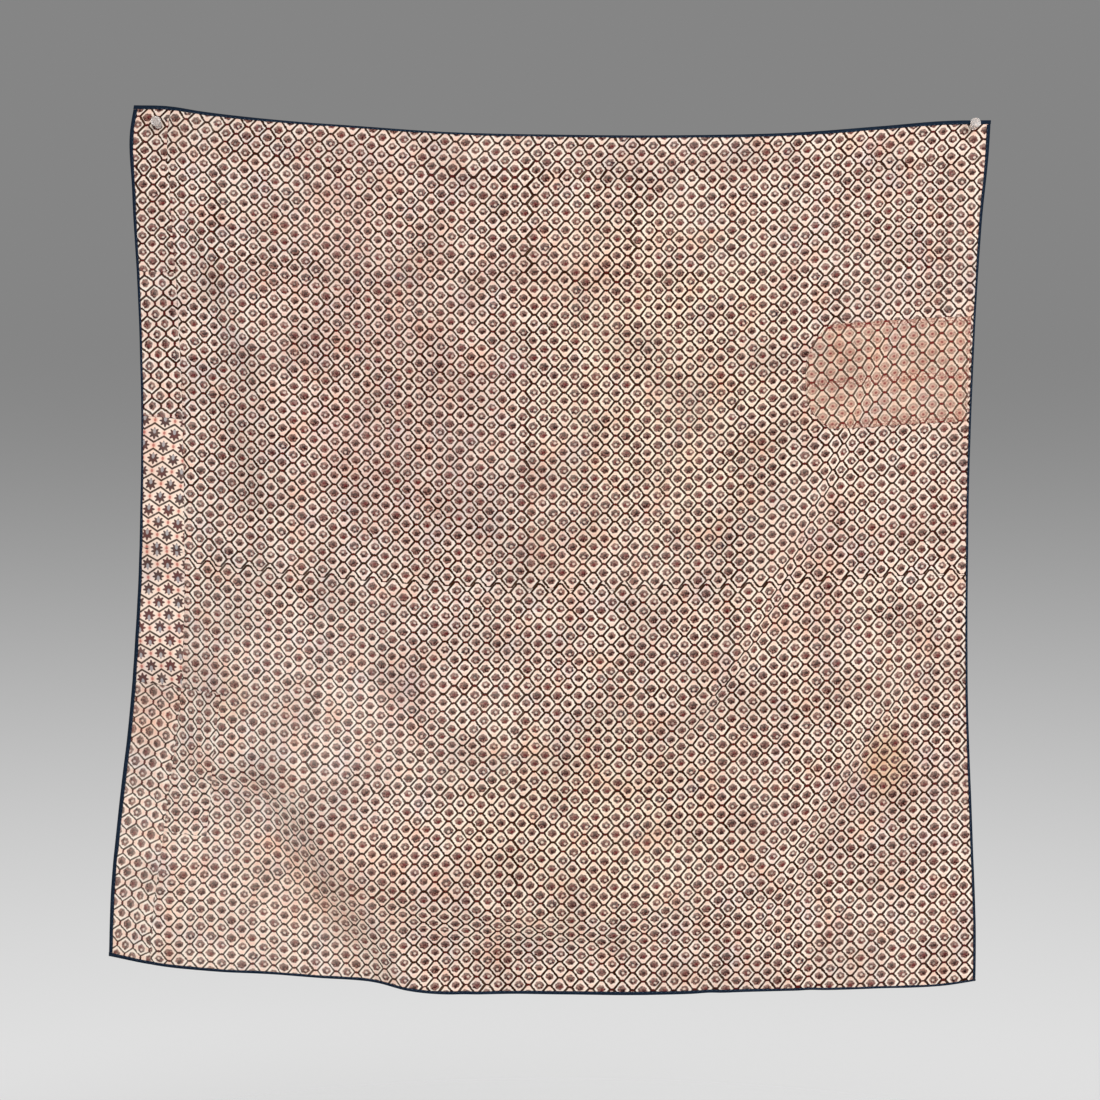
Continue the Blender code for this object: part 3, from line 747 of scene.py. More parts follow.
def lattice_print(tree, across, down, look, repeat, wear):
    """The block-printed trellis: the two nearest cells, laid over each other."""
    x, y = turned(across, down, look.turn, look.start)
    lower = rise(down, *LOWER_BAND) if look.turn == 0 else 0.0
    seen_x = (x - lower * LOWER_SHIFT[0]) / repeat[0]
    seen_y = (y - lower * LOWER_SHIFT[1]) / repeat[1]
    whole = lattice_cell(tree, x, y, (seen_x + 0.5).floor(), (seen_y + 0.5).floor(), look, repeat,
                         wear)
    half = lattice_cell(tree, x, y, seen_x.floor() + 0.5, seen_y.floor() + 0.5, look, repeat, wear)
    nearer = half["inside"].above(whole["inside"])
    masks = {name: whole[name].most(half[name])
             for name in ("trellis", "knot", "flower", "blush", "corner")}
    between = whole["inside"].most(half["inside"]) * -1
    masks["blush"] = masks["blush"].most(rise(between, 0.9, 1.5))
    for name in ("heart", "core", "ring", "spot"):
        masks[name] = blended(whole[name], half[name], nearer)
    masks["own"] = [blended(a, b, nearer) for a, b in zip(whole["own"], half["own"])]
    masks["slip"] = [blended(a, b, nearer) for a, b in zip(whole["slip"], half["slip"])]
    return masks


# Stains and worn places of the hanging, and patches of painted shade: the grey rows, which only
# darken, stand for shade over the folds and along the top edge. Columns: across, down, half width,
# half height in millimetres on the flat cloth, strength, colour it multiplies by.
STAIN_AND_SHADE_PATCHES = [
    (372, 300, 50, 230, 0.30, (0.87, 0.87, 0.88)),
    (330, 105, 95, 75, 0.30, (0.86, 0.85, 0.87)),
    (342, 640, 22, 32, 0.45, (0.92, 0.74, 0.42)),
    (-72, 250, 26, 22, 0.40, (0.80, 0.76, 0.78)),
    (-32, 390, 105, 65, 0.35, (0.82, 0.79, 0.80)),
    (162, 450, 22, 22, 0.45, (0.76, 0.73, 0.74)),
    (330, 172, 60, 12, 0.40, (0.78, 0.75, 0.77)),
    (278, 480, 18, 110, 0.35, (0.82, 0.79, 0.80)),
    (-200, 755, 95, 50, 0.45, (1.00, 0.87, 0.79)),
    (40, 690, 120, 95, 0.40, (0.98, 0.96, 0.83)),
    (258, 450, 40, 60, 0.35, (1.00, 0.87, 0.84)),
    (8, 418, 36, 26, 0.40, (1.00, 0.88, 0.77)),
    (-222, 96, 30, 42, 0.35, (1.00, 0.87, 0.86)),
    (-212, 310, 32, 34, 0.35, (1.00, 0.87, 0.86)),
    (-142, 572, 32, 34, 0.40, (1.00, 0.86, 0.86)),
    (350, 652, 62, 30, 0.40, (0.78, 0.68, 0.68)),
    (215, 222, 55, 16, 0.45, (0.76, 0.73, 0.76)),
    (-240, 160, 80, 16, 0.35, (0.80, 0.76, 0.78)),
    (-150, 345, 75, 60, 0.35, (0.80, 0.76, 0.80)),
    (-235, 28, 60, 14, 0.40, (0.78, 0.75, 0.78)),
    (180, 28, 80, 12, 0.35, (0.78, 0.75, 0.76)),
    (-260, 330, 200, 390, 0.50, (0.93, 0.95, 1.00)),
    (-175, 215, 110, 200, 0.30, (0.90, 0.74, 0.70)),
    (-190, 205, 85, 26, 0.35, (0.78, 0.70, 0.72)),
    (110, 250, 120, 150, 0.35, (0.98, 0.95, 0.80)),
    (22, 130, 75, 40, 0.35, (1.00, 0.84, 0.78)),
    (250, 560, 150, 160, 0.18, (0.97, 0.92, 0.84)),
    (-405, 610, 26, 30, 0.45, (0.92, 0.70, 0.60)),
    (-318, 585, 16, 22, 0.35, (1.00, 0.84, 0.62)),
    (-60, 800, 160, 60, 0.20, (0.90, 0.86, 0.84)),
]


def stained_and_shaded(tree, colour, across, down):
    """Old stains and faded places, and grey patches of painted shade, laid over a colour."""
    for x, y, half_width, half_height, strength, stain_and_shade_colour in STAIN_AND_SHADE_PATCHES:
        off_x, off_y = (across - x) / half_width, (down - y) / half_height
        share = rise((off_x * off_x + off_y * off_y) * -1, -2.2, 0.0) * strength
        colour = tinted(tree, colour, stain_and_shade_colour, share, "MULTIPLY")
    return colour


def weathered(tree, colour, flat):
    """Soft uneven fading of the whole cloth, in strength and in hue."""
    for size, seed, low, high, tint in ((55, 12, 0.40, 0.70, (0.86, 0.84, 0.84)),
                                        (30, 21, 0.50, 0.72, (1.00, 0.89, 0.84)),
                                        (27, 33, 0.50, 0.72, (0.93, 0.94, 1.00))):
        cloud = clouds(tree, flat, size * MM, 1.5, seed)
        colour = tinted(tree, colour, tint, rise(cloud, low, high), "MULTIPLY")
    return colour


def woven(tree, shader, flat, colour, pitch=0.62 * MM):
    """Finishes a cotton: its threads in relief, with painted shade darkening the colour where the
    threads lie low, and its matt surface.
    """
    parts = tree.nodes.new("ShaderNodeSeparateXYZ")
    tree.links.new(flat, parts.inputs[0])
    warp = (Reading(tree, parts.outputs[0]) * (2 * math.pi / pitch)).worked("SINE")
    weft = (Reading(tree, parts.outputs[1]) * (2 * math.pi / pitch)).worked("SINE")
    threads = warp * weft * 0.5 + 0.5
    slub = clouds(tree, flat, 2.5 * MM, 3.0, 4.0)
    height = threads * 0.6 + slub
    # Painted shade: the colour is darkened where the threads' relief lies low, between the threads
    colour = tinted(tree, colour, (0.82, 0.80, 0.78), rise(height, 0.9, 0.35) * 0.35, "MULTIPLY")
    feed(tree, shader.inputs["Base Color"], colour)
    bump = tree.nodes.new("ShaderNodeBump")
    bump.inputs["Strength"].default_value = 0.35
    bump.inputs["Distance"].default_value = 0.24 * MM
    feed(tree, bump.inputs["Height"], height)
    tree.links.new(bump.outputs["Normal"], shader.inputs["Normal"])
    feed(tree, shader.inputs["Roughness"], slub * 0.14 + 0.80)
    shader.inputs["Sheen Weight"].default_value = 0.01
    shader.inputs["Sheen Roughness"].default_value = 0.5
    shader.inputs["Specular IOR Level"].default_value = 0.03


def floor_material(reach):
    """Pale floor that clears towards its rim, so that it has no edge."""
    material, tree, shader = new_material("pale_floor")
    place = tree.nodes.new("ShaderNodeTexCoord")
    length = tree.nodes.new("ShaderNodeVectorMath")
    length.operation = "LENGTH"
    tree.links.new(place.outputs["Object"], length.inputs[0])
    out = Reading(tree, length.outputs["Value"])
    shader.inputs["Base Color"].default_value = (0.80, 0.80, 0.80, 1.0)
    shader.inputs["Roughness"].default_value = 0.9
    feed(tree, shader.inputs["Alpha"], 1 - rise(out, 0.35 * reach, reach * 0.98))
    return material


# Prints of each cloth. Columns: start of its first cell across and down in millimetres, turn in
# degrees, slip of its blocks in millimetres, ink strength, redness, whether it has faded, and the
# sizes of its repeat and its flowers beside the main ones.
Look = namedtuple("Look", "start turn slip ink red faded size flower")
LOOKS = {
    "printed_field": Look((-12.0, 44.3), 0.0, 0.8, 1.0, 0.30, False, (1.0, 1.0), 1.0),
    "let_in_piece": Look((-351.0, 592.0), -2.0, 0.3, 1.0, 0.35, False, (0.957, 0.994), 1.0),
    "edge_strip_1": Look((-404.0, 20.0), 1.5, 0.5, 1.0, 0.30, False, (0.966, 0.994), 1.0),
    "edge_strip_2": Look((-398.0, 178.0), 86.0, 0.5, 1.0, 0.35, False, (0.985, 1.012), 1.0),
    "edge_strip_5": Look((-410.0, 596.0), 97.0, 0.9, 1.0, 0.45, False, (0.981, 1.006), 1.0),
    "sewn_patch": Look((330.0, 225.0), -2.0, 0.7, 0.96, 0.85, True, (0.913, 1.035), 1.12),
}


def fresh_flower(tree, masks, dabs, redness, settings):
    """Colour of a small flower, with thin places and a darker spot, and how far it covers."""
    own = masks["own"]
    flower = tinted(tree, tuple(settings.flower_ink), GREY_FLOWER, rise(own[0], 0.65, 1.1))
    thin = rise(dabs + own[1] * 0.05, 0.60, 0.47)
    flower = tinted(tree, flower, THIN_INK, thin * 0.85)
    spot = tinted(tree, BLACK_SPOT, tuple(settings.red_ink), redness)
    flower = tinted(tree, flower, spot, masks["spot"] * 0.8)
    return flower, 1 - masks["heart"] * 0.75


def faded_flower(tree, masks, dabs):
    """Colour of a faded flower, with a broken ring and a red heart, and how far it covers."""
    broken = masks["ring"] * rise(dabs, 0.38, 0.50)
    flower = tinted(tree, FADED["petal"], FADED["ring"], broken * 0.9)
    flower = tinted(tree, flower, FADED["core"], masks["core"] * 0.95)
    return flower, masks["core"] * 0.2 + 0.8


def lattice_colour(tree, across, down, look, settings, strength):
    """Colour of a cotton printed with the trellis."""
    flat = together(tree, across * MM, down * MM)
    wander = cloudy(tree, flat, 34 * MM, 3.0, look.start[1])
    drift = tree.nodes.new("ShaderNodeSeparateColor")
    tree.links.new(wander.outputs["Color"], drift.inputs[0])
    # The print wanders a little over the cloth, and its lines have rough rims
    drift_x = (Reading(tree, drift.outputs[0]) - 0.5) * 2.6
    drift_y = (Reading(tree, drift.outputs[1]) - 0.5) * 2.6
    rough = clouds(tree, flat, 1.8 * MM, 2.0, 1.0) - 0.5
    repeat = (settings.repeat_across / MM * look.size[0], settings.repeat_down / MM * look.size[1])
    # At the lower left of the hanging the lines are thinner and paler
    lower_left = rise(down, 430, 560) * rise(across * -1, 60, 260)
    wear = (clouds(tree, flat, 5 * MM, 3.0, 7.0) - 0.55) * 1.1
    wear = wear - lower_left * 0.26
    masks = lattice_print(tree, across + drift_x + rough * 1.6, down + drift_y - rough * 1.6,
                          look, repeat, wear)
    patchy = clouds(tree, flat, 9 * MM, 4.0, 2.0)
    worn = clouds(tree, flat, 95 * MM, 1.0, 40.0)
    ink = rise(patchy, 0.22, 0.50) * 0.08 + 0.94 - rise(worn, 0.42, 0.62) * 0.03
    ink = ink - lower_left * 0.07
    ink = ink * (masks["slip"][2] * 0.03 + 0.98) * (look.ink * strength)
    dabs = clouds(tree, flat, 1.9 * MM, 2.0, 6.0)
    own = masks["own"]
    redness = rise(own[2] + look.red, 0.75, 1.15)
    ground, line_ink = tuple(settings.ground), tuple(settings.line_ink)
    if look.faded:
        ground, line_ink = FADED["ground"], FADED["line"]
    blush = tuple(settings.blush)
    colour = tinted(tree, ground, blush, masks["blush"] * 0.30 * strength, "MULTIPLY")
    colour = tinted(tree, colour, blush, masks["corner"] * 0.55 * strength, "MULTIPLY")
    # Stains, faded places and grey patches of painted shade, on the front only
    if strength == 1.0:
        colour = stained_and_shaded(tree, colour, across, down)
    line = tinted(tree, line_ink, WORN_LINE, redness)
    knot = tinted(tree, line_ink, tuple(settings.knot_ink), rise(own[1], 0.2, 0.6))
    colour = tinted(tree, colour, line, masks["trellis"] * ink)
    colour = tinted(tree, colour, knot, masks["knot"] * ink)
    if look.faded:
        flower, cover = faded_flower(tree, masks, dabs)
        colour = tinted(tree, colour, FADED["knot"], masks["knot"] * 0.8)
        for row in FADED_DAB_ROWS:
            band = rise(abs(down + drift_y - row) * -1, -5.0, -2.0) * rise(dabs, 0.44, 0.58)
            colour = tinted(tree, colour, FADED["dab"], band * 0.65)
    else:
        flower, cover = fresh_flower(tree, masks, dabs, redness, settings)
    colour = tinted(tree, colour, flower, masks["flower"] * cover * ink)
    return weathered(tree, colour, flat)


def two_sided(name, colour_of):
    """Front and back materials of a printed cotton, with the print paler on the back."""
    materials = []
    for side, strength in (("front", 1.0), ("back", SHOW_THROUGH)):
        material, tree, shader = new_material(f"{name}_{side}")
        across, down, flat = flat_reading(tree)
        woven(tree, shader, flat, colour_of(tree, across, down, flat, strength))
        materials.append(material)
    return materials


def printed_cotton(name, look, settings):
    """Front and back materials of a cotton printed with the trellis."""
    def colour_of(tree, across, down, _flat, strength):
        return lattice_colour(tree, across, down, look, settings, strength)

    return two_sided(name, colour_of)


# Prints of the two strips with palmettes. Columns: start of the first palmette across and down
# in millimetres, turn in degrees, and 1 where they stand upright or -1 upside down.
PALMETTES = {"edge_strip_3": ((-404.0, 328.0), 2.0, 1.0),
             "edge_strip_4": ((-407.0, 460.0), -3.0, -1.0)}

# Width and height of the palmettes' repeat in millimetres, and the colours of their parts
PALMETTE_REPEAT = (20.0, 25.4)
PALMETTE_PETAL = (0.040, 0.016, 0.017)
PALMETTE_HEART = (0.40, 0.39, 0.40)
PALMETTE_KNOT = (0.42, 0.07, 0.06)


def palmette_cell(tree, x, y, column, row, seed):
    """Masks of one palmette between two wavy lines."""
    width, height = PALMETTE_REPEAT
    own = chances(tree, column, row, seed)
    x, y = x - column * width, y - row * height
    half, tip, shoulder = width / 2, height * 0.372, height * 0.128
    slope = math.hypot(tip - shoulder, half)
    inside = (half * tip - abs(x) * (tip - shoulder) - abs(y) * half) / slope
    sides = half - abs(x)
    wave = rise(abs(inside) * -1, -1.25, -0.65) * rise(sides, -0.6, -0.2)
    knot = rise((sides * sides / 1.8 + y * y / 3.0) * -1, -1.5, -0.4)
    halo = rise((sides * sides / 9.0 + y * y / 14.0) * -1, -1.5, 0.0)
    x, y = x - (own[0] - 0.5) * 0.8, y - (own[1] - 0.5) * 0.8
    radius = (x * x + y * y).worked("SQRT")
    lobes = (x.worked("ARCTAN2", y) * 8).worked("COSINE")
    reach = lobes * 1.12 + y * 0.10 + own[2] * 0.4 + 4.80
    flower = rise(reach - radius, -0.5, 0.5)
    upper = y + 1.9
    heart = rise((x * x + upper * upper * 0.32) * -1, -3.4, -1.2)
    return {"inside": inside.least(sides), "wave": wave, "knot": knot, "flower": flower,
            "halo": halo, "heart": heart, "own": own}


def palmette_colour(tree, place, flat, upright, settings, strength):
    """Colour of a cotton printed with palmettes in wavy rows."""
    rough = clouds(tree, flat, 1.6 * MM, 2.0, 1.0) - 0.5
    x, y = place[0] + rough * 0.7, (place[1] + rough * 0.7) * upright
    seen_x, seen_y = x / PALMETTE_REPEAT[0], y / PALMETTE_REPEAT[1]
    whole = palmette_cell(tree, x, y, (seen_x + 0.5).floor(), (seen_y + 0.5).floor(), 11.5)
    half = palmette_cell(tree, x, y, seen_x.floor() + 0.5, seen_y.floor() + 0.5, 11.5)
    nearer = half["inside"].above(whole["inside"])
    masks = {key: whole[key].most(half[key]) for key in ("wave", "knot", "flower", "halo")}
    heart = blended(whole["heart"], half["heart"], nearer)
    redder = blended(whole["own"][2], half["own"][2], nearer)
    patchy = clouds(tree, flat, 9 * MM, 4.0, 2.0)
    ink = (rise(patchy, 0.22, 0.50) * 0.16 + 0.78) * strength
    dabs = clouds(tree, flat, 2.0 * MM, 2.0, 6.0)
    colour = tinted(tree, tuple(settings.ground), tuple(settings.blush),
                    masks["halo"] * 0.65 + 0.35, "MULTIPLY")
    petal = tinted(tree, PALMETTE_PETAL, tuple(settings.red_ink),
                   rise(dabs + redder * 0.3, 0.45, 0.85) * 0.7)
    centre = tinted(tree, petal, PALMETTE_HEART, heart * 0.85)
    colour = tinted(tree, colour, tuple(settings.line_ink), masks["wave"] * ink)
    colour = tinted(tree, colour, PALMETTE_KNOT, masks["knot"] * ink * 0.8)
    colour = tinted(tree, colour, centre, masks["flower"] * ink)
    return weathered(tree, colour, flat)


def palmette_cotton(name, settings):
    """Front and back materials of a cotton printed with palmettes in wavy rows."""
    start, turn, upright = PALMETTES[name]

    def colour_of(tree, across, down, flat, strength):
        place = turned(across, down, turn, start)
        return palmette_colour(tree, place, flat, upright, settings, strength)

    return two_sided(name, colour_of)


def plain_cotton(name, base, worn):
    """A plain woven cotton of one dye, a little worn along its length."""
    material, tree, shader = new_material(name)
    flat = tree.nodes.new("ShaderNodeUVMap")
    flat.uv_map = FLAT_MAP
    wear = clouds(tree, flat.outputs[0], 12 * MM, 4.0, 5.0)
    colour = tinted(tree, base, worn, rise(wear, 0.45, 0.75) * 0.6)
    woven(tree, shader, flat.outputs[0], colour, 0.55 * MM)
    return material


def thread_material(name, base):
    """Sewing thread, with a fine twist in its colour."""
    material, tree, shader = new_material(name)
    place = tree.nodes.new("ShaderNodeTexCoord")
    twist = clouds(tree, place.outputs["Object"], 0.5 * MM, 1.0, 2.0)
    pale = tuple(min(1.0, channel * 1.7 + 0.01) for channel in base)
    feed(tree, shader.inputs["Base Color"], tinted(tree, base, pale, rise(twist, 0.35, 0.65)))
    shader.inputs["Roughness"].default_value = 0.75
    shader.inputs["Sheen Weight"].default_value = 0.15
    return material


def clear_plastic(colour):
    """Clear moulded plastic, slightly clouded."""
    material, tree, shader = new_material("clear_plastic")
    place = tree.nodes.new("ShaderNodeTexCoord")
    cloud = clouds(tree, place.outputs["Object"], 3 * MM, 2.0)
    feed(tree, shader.inputs["Base Color"],
         tinted(tree, tuple(colour), (0.80, 0.74, 0.70), rise(cloud, 0.4, 0.7) * 0.5))
    feed(tree, shader.inputs["Roughness"], cloud * 0.25 + 0.22)
    shader.inputs["IOR"].default_value = 1.49
    shader.inputs["Transmission Weight"].default_value = 0.8
    return material


def drawn_steel():
    """Bright drawn wire, with faint lines along it."""
    material, tree, shader = new_material("drawn_steel")
    place = tree.nodes.new("ShaderNodeTexCoord")
    streak = tree.nodes.new("ShaderNodeMapping")
    streak.inputs["Scale"].default_value = (1.0, 0.05, 1.0)
    tree.links.new(place.outputs["Object"], streak.inputs["Vector"])
    lines = clouds(tree, streak.outputs[0], 0.2 * MM, 2.0)
    feed(tree, shader.inputs["Base Color"],
         tinted(tree, (0.62, 0.62, 0.62), (0.45, 0.45, 0.46), lines))
    feed(tree, shader.inputs["Roughness"], lines * 0.2 + 0.15)
    shader.inputs["Metallic"].default_value = 1.0
    return material


# Operators

def field_net(cloth):
    """Shares across and down the main cloth for its mesh, and the faces that its hole skips."""
    inset = RIM_INSET / FIELD_HEIGHT
    gap = FIELD_SEAM_GAP / FIELD_WIDTH
    levels = [(LET_IN[end] - inset) / (1 - 2 * inset) for end in ("top", "bottom")]
    rows = even_lines(FIELD_HEIGHT, cloth.mesh_pitch, levels)
    columns = even_lines(FIELD_WIDTH, cloth.mesh_pitch, (LET_IN["across"],))
    inner, down = np.meshgrid(columns, inset + rows * (1 - 2 * inset))
    in_side = (inner[:-1, :-1] + inner[1:, 1:]) / 2 < LET_IN["across"]
    in_rows = (down[:-1, :-1] + down[1:, 1:]) / 2
    skip = in_side & (in_rows > LET_IN["top"]) & (in_rows < LET_IN["bottom"])
    edge = (FIELD_SEAM_GAP + RIM_INSET) / FIELD_WIDTH
    return gap + inner * (1 - edge), down, skip


def let_in_net(cloth):
    """Shares across and down the main cloth for the mesh of the piece let into it."""
    gap = FIELD_SEAM_GAP / FIELD_HEIGHT
    low, high = LET_IN["top"] + gap, LET_IN["bottom"] - gap
    rows = low + (high - low) * even_lines((high - low) * FIELD_HEIGHT, cloth.mesh_pitch)
    first = FIELD_SEAM_GAP / FIELD_WIDTH
    last = LET_IN["across"] - first
    columns = even_lines((last - first) * FIELD_WIDTH, cloth.mesh_pitch)
    inner, down = np.meshgrid(first + (last - first) * columns, rows)
    return inner, down, None


class HANGING_OT_main_cloth(bpy.types.Operator):
    """Makes the main cloth and the narrow piece let into it beside its seam"""
    bl_idname = "hanging.main_cloth"
    bl_label = "Main Cloth"

    def execute(self, context):
        cloth = context.scene.hanging_cloth
        for name, net_of in (("printed_field", field_net), ("let_in_piece", let_in_net)):
            materials = printed_cotton(name, LOOKS[name], cloth)
            inner, down, skip = net_of(cloth)
            piece = sheet_piece(name, field_share(inner, down), down, 0.0, cloth.thickness,
                                materials, skip)
            settled(piece, "printed_cotton", name)
        return {"FINISHED"}


class HANGING_OT_edge_strips(bpy.types.Operator):
    """Makes the five lengths sewn end to end down the left edge"""
    bl_idname = "hanging.edge_strips"
    bl_label = "Edge Strips"

    def execute(self, context):
        cloth = context.scene.hanging_cloth
        breaks = (0.0, *STRIP_BREAKS, 1.0)
        for number, (top, bottom) in enumerate(zip(breaks, breaks[1:]), 1):
            name = f"edge_strip_{number}"
            if name in PALMETTES:
                slot, materials = "palmette_cotton", palmette_cotton(name, cloth)
            else:
                slot, materials = "printed_cotton", printed_cotton(name, LOOKS[name], cloth)
            low = top + (RIM_INSET if top == 0 else SEAM_GAP) / HANGING_HEIGHT
            high = bottom - (RIM_INSET if bottom == 1 else SEAM_GAP) / HANGING_HEIGHT
            rows = even_lines((high - low) * HANGING_HEIGHT, cloth.mesh_pitch)
            columns = even_lines(42 * MM, cloth.mesh_pitch)
            share, down = np.meshgrid(columns, low + (high - low) * rows)
            width = cloth_width(down)
            first = RIM_INSET / width
            last = seam_share(down) - SEAM_GAP / width
            across = first + (last - first) * share
            piece = sheet_piece(name, across, down, 0.0, cloth.thickness, materials)
            settled(piece, slot, name)
        return {"FINISHED"}


class HANGING_OT_sewn_patch(bpy.types.Operator):
    """Makes the faded patch that is sewn on the front near the right edge"""
    bl_idname = "hanging.sewn_patch"
    bl_label = "Sewn Patch"

    def execute(self, context):
        cloth = context.scene.hanging_cloth
        width, height = 165 * MM, 105 * MM
        columns = even_lines(width, cloth.mesh_pitch)
        rows = even_lines(height, cloth.mesh_pitch)
        share, fall = np.meshgrid(columns, rows)
        down = PATCH["top"] + (PATCH["bottom"] - PATCH["top"]) * fall
        left = field_share(patch_left(down), down)
        right = 1 - (binding_width("right", down) + 0.2 * MM) / cloth_width(down)
        to_rim = np.minimum(np.minimum(share, 1 - share) * width,
                            np.minimum(fall, 1 - fall) * height)
        lift = cloth.thickness / 2 + cloth.patch_thickness / 2 + 0.12 * MM
        lift = lift + 0.25 * MM * ease_in(to_rim, 4 * MM)
        materials = printed_cotton("sewn_patch", LOOKS["sewn_patch"], cloth)
        piece = sheet_piece("sewn_patch", left + (right - left) * share, down, lift,
                            cloth.patch_thickness, materials)
        settled(piece, "patch_cotton", "sewn_patch")
        return {"FINISHED"}


def edge_shares(side, along, inset):
    """Shares across and down, at shares along an edge and a distance in from it."""
    if side in ("top", "bottom"):
        share = inset / cloth_height(along)
        return along, (share if side == "top" else 1 - share)
    share = inset / cloth_width(along)
    return (share if side == "left" else 1 - share), along


def edge_lines(side, pitch, widths):
    """Shares along an edge, whole for the top and bottom and between them for the sides."""
    low, high = 0.0, 1.0
    if side in ("left", "right"):
        low = (widths["top"] + SOLID_GAP) / HANGING_HEIGHT
        high = 1 - (widths["bottom"] + SOLID_GAP) / HANGING_HEIGHT
    return low + (high - low) * np.linspace(0, 1, round(HANGING_HEIGHT / pitch))


class HANGING_OT_binding(bpy.types.Operator):
    """Makes the navy tape folded over each edge of the cloth"""
    bl_idname = "hanging.binding"
    bl_label = "Edge Binding"

    def execute(self, context):
        cloth = context.scene.hanging_cloth
        tape = context.scene.hanging_binding
        inside = cloth.thickness / 2 + tape.clearance
        outside = inside + tape.wall
        navy = plain_cotton("navy_cotton", tuple(tape.navy), WORN_NAVY)
        for side in BINDING_WIDTHS:
            corner = 0.0 if side == "left" else 1.0
            ends = {name: tape_width(name, corner) for name in ("top", "bottom")}
            along = edge_lines(side, tape.pitch, ends)
            waver = soft_noise(along * HANGING_HEIGHT, np.full_like(along, len(side)), 14 * MM, 2.2)
            width = tape_width(side, along) + waver * 0.4 * MM
            ring = tape_section(width, outside, inside)
            loops = [cloth_place(*edge_shares(side, along, inset), height)
                     for inset, height in ring]
            name = f"binding_{side}"
            piece = add_piece(name, swept_mesh(name, np.stack(loops, axis=1)), navy)
            settled(piece, "navy_cotton", name)
        return {"FINISHED"}


def tape_section(width, outside, inside):
    """Inset and height round the section of a folded tape, from its front free edge."""
    turn = np.linspace(math.pi / 2, -math.pi / 2, 7)
    outer = [(outside * (1 - math.cos(a)), outside * math.sin(a)) for a in turn]
    inner = [(outside - inside * math.cos(a), inside * math.sin(a)) for a in turn[::-2]]
    free = width - 0.15 * MM
    ring = [(free, outside), (width * 0.5, outside)]
    ring += outer
    ring += [(width * 0.5, -outside), (free, -outside), (width, -(inside + outside) / 2)]
    return ring + [(free, -inside)] + inner + [(free, inside), (width, (inside + outside) / 2)]


def run_lengths(points):
    """Length along a row of points, from 0 at the first."""
    steps = np.linalg.norm(np.diff(points, axis=0), axis=1)
    return np.concatenate([[0.0], np.cumsum(steps)])


def swept_mesh(name, loops):
    """A closed body through a row of closed loops, with its length and girth as its UV map."""
    stations, sides = loops.shape[:2]
    mesh = bpy.data.meshes.new(name)
    faces = []
    for k in range(stations - 1):
        for m in range(sides):
            n = (m + 1) % sides
            faces.append((k * sides + m, k * sides + n, (k + 1) * sides + n, (k + 1) * sides + m))
    caps = section_cap(sides)
    faces += caps
    last = (stations - 1) * sides
    faces += [tuple(last + k for k in reversed(cap)) for cap in caps]
    mesh.from_pydata(loops.reshape(-1, 3).tolist(), [], faces)
    lengths, girths = run_lengths(loops[:, 0]), run_lengths(loops[0])
    layer = mesh.uv_layers.new(name=FLAT_MAP)
    numbers = np.empty(len(mesh.loops), dtype=np.int64)
    mesh.loops.foreach_get("vertex_index", numbers)
    flat = np.stack([lengths[numbers // sides], girths[numbers % sides]], axis=-1)
    layer.uv.foreach_set("vector", flat.ravel())
    shape = bmesh.new()
    shape.from_mesh(mesh)
    bmesh.ops.recalc_face_normals(shape, faces=shape.faces)
    shape.to_mesh(mesh)
    shape.free()
    mesh.shade_smooth()
    mesh.set_sharp_from_angle(angle=math.radians(50))
    return mesh


def section_cap(sides):
    """Faces that close the end of a tape's section, from its outer run to its inner one."""
    faces = []
    low, high = 0, sides - 2
    faces.append((low, high, sides - 1))
    while high - low > 1:
        if (sides - 2 - high) * 11 < (low + 1) * 6 and high - low > 2:
            faces.append((low, high - 1, high))
            high -= 1
        else:
            faces.append((low, low + 1, high))
            low += 1
    return faces


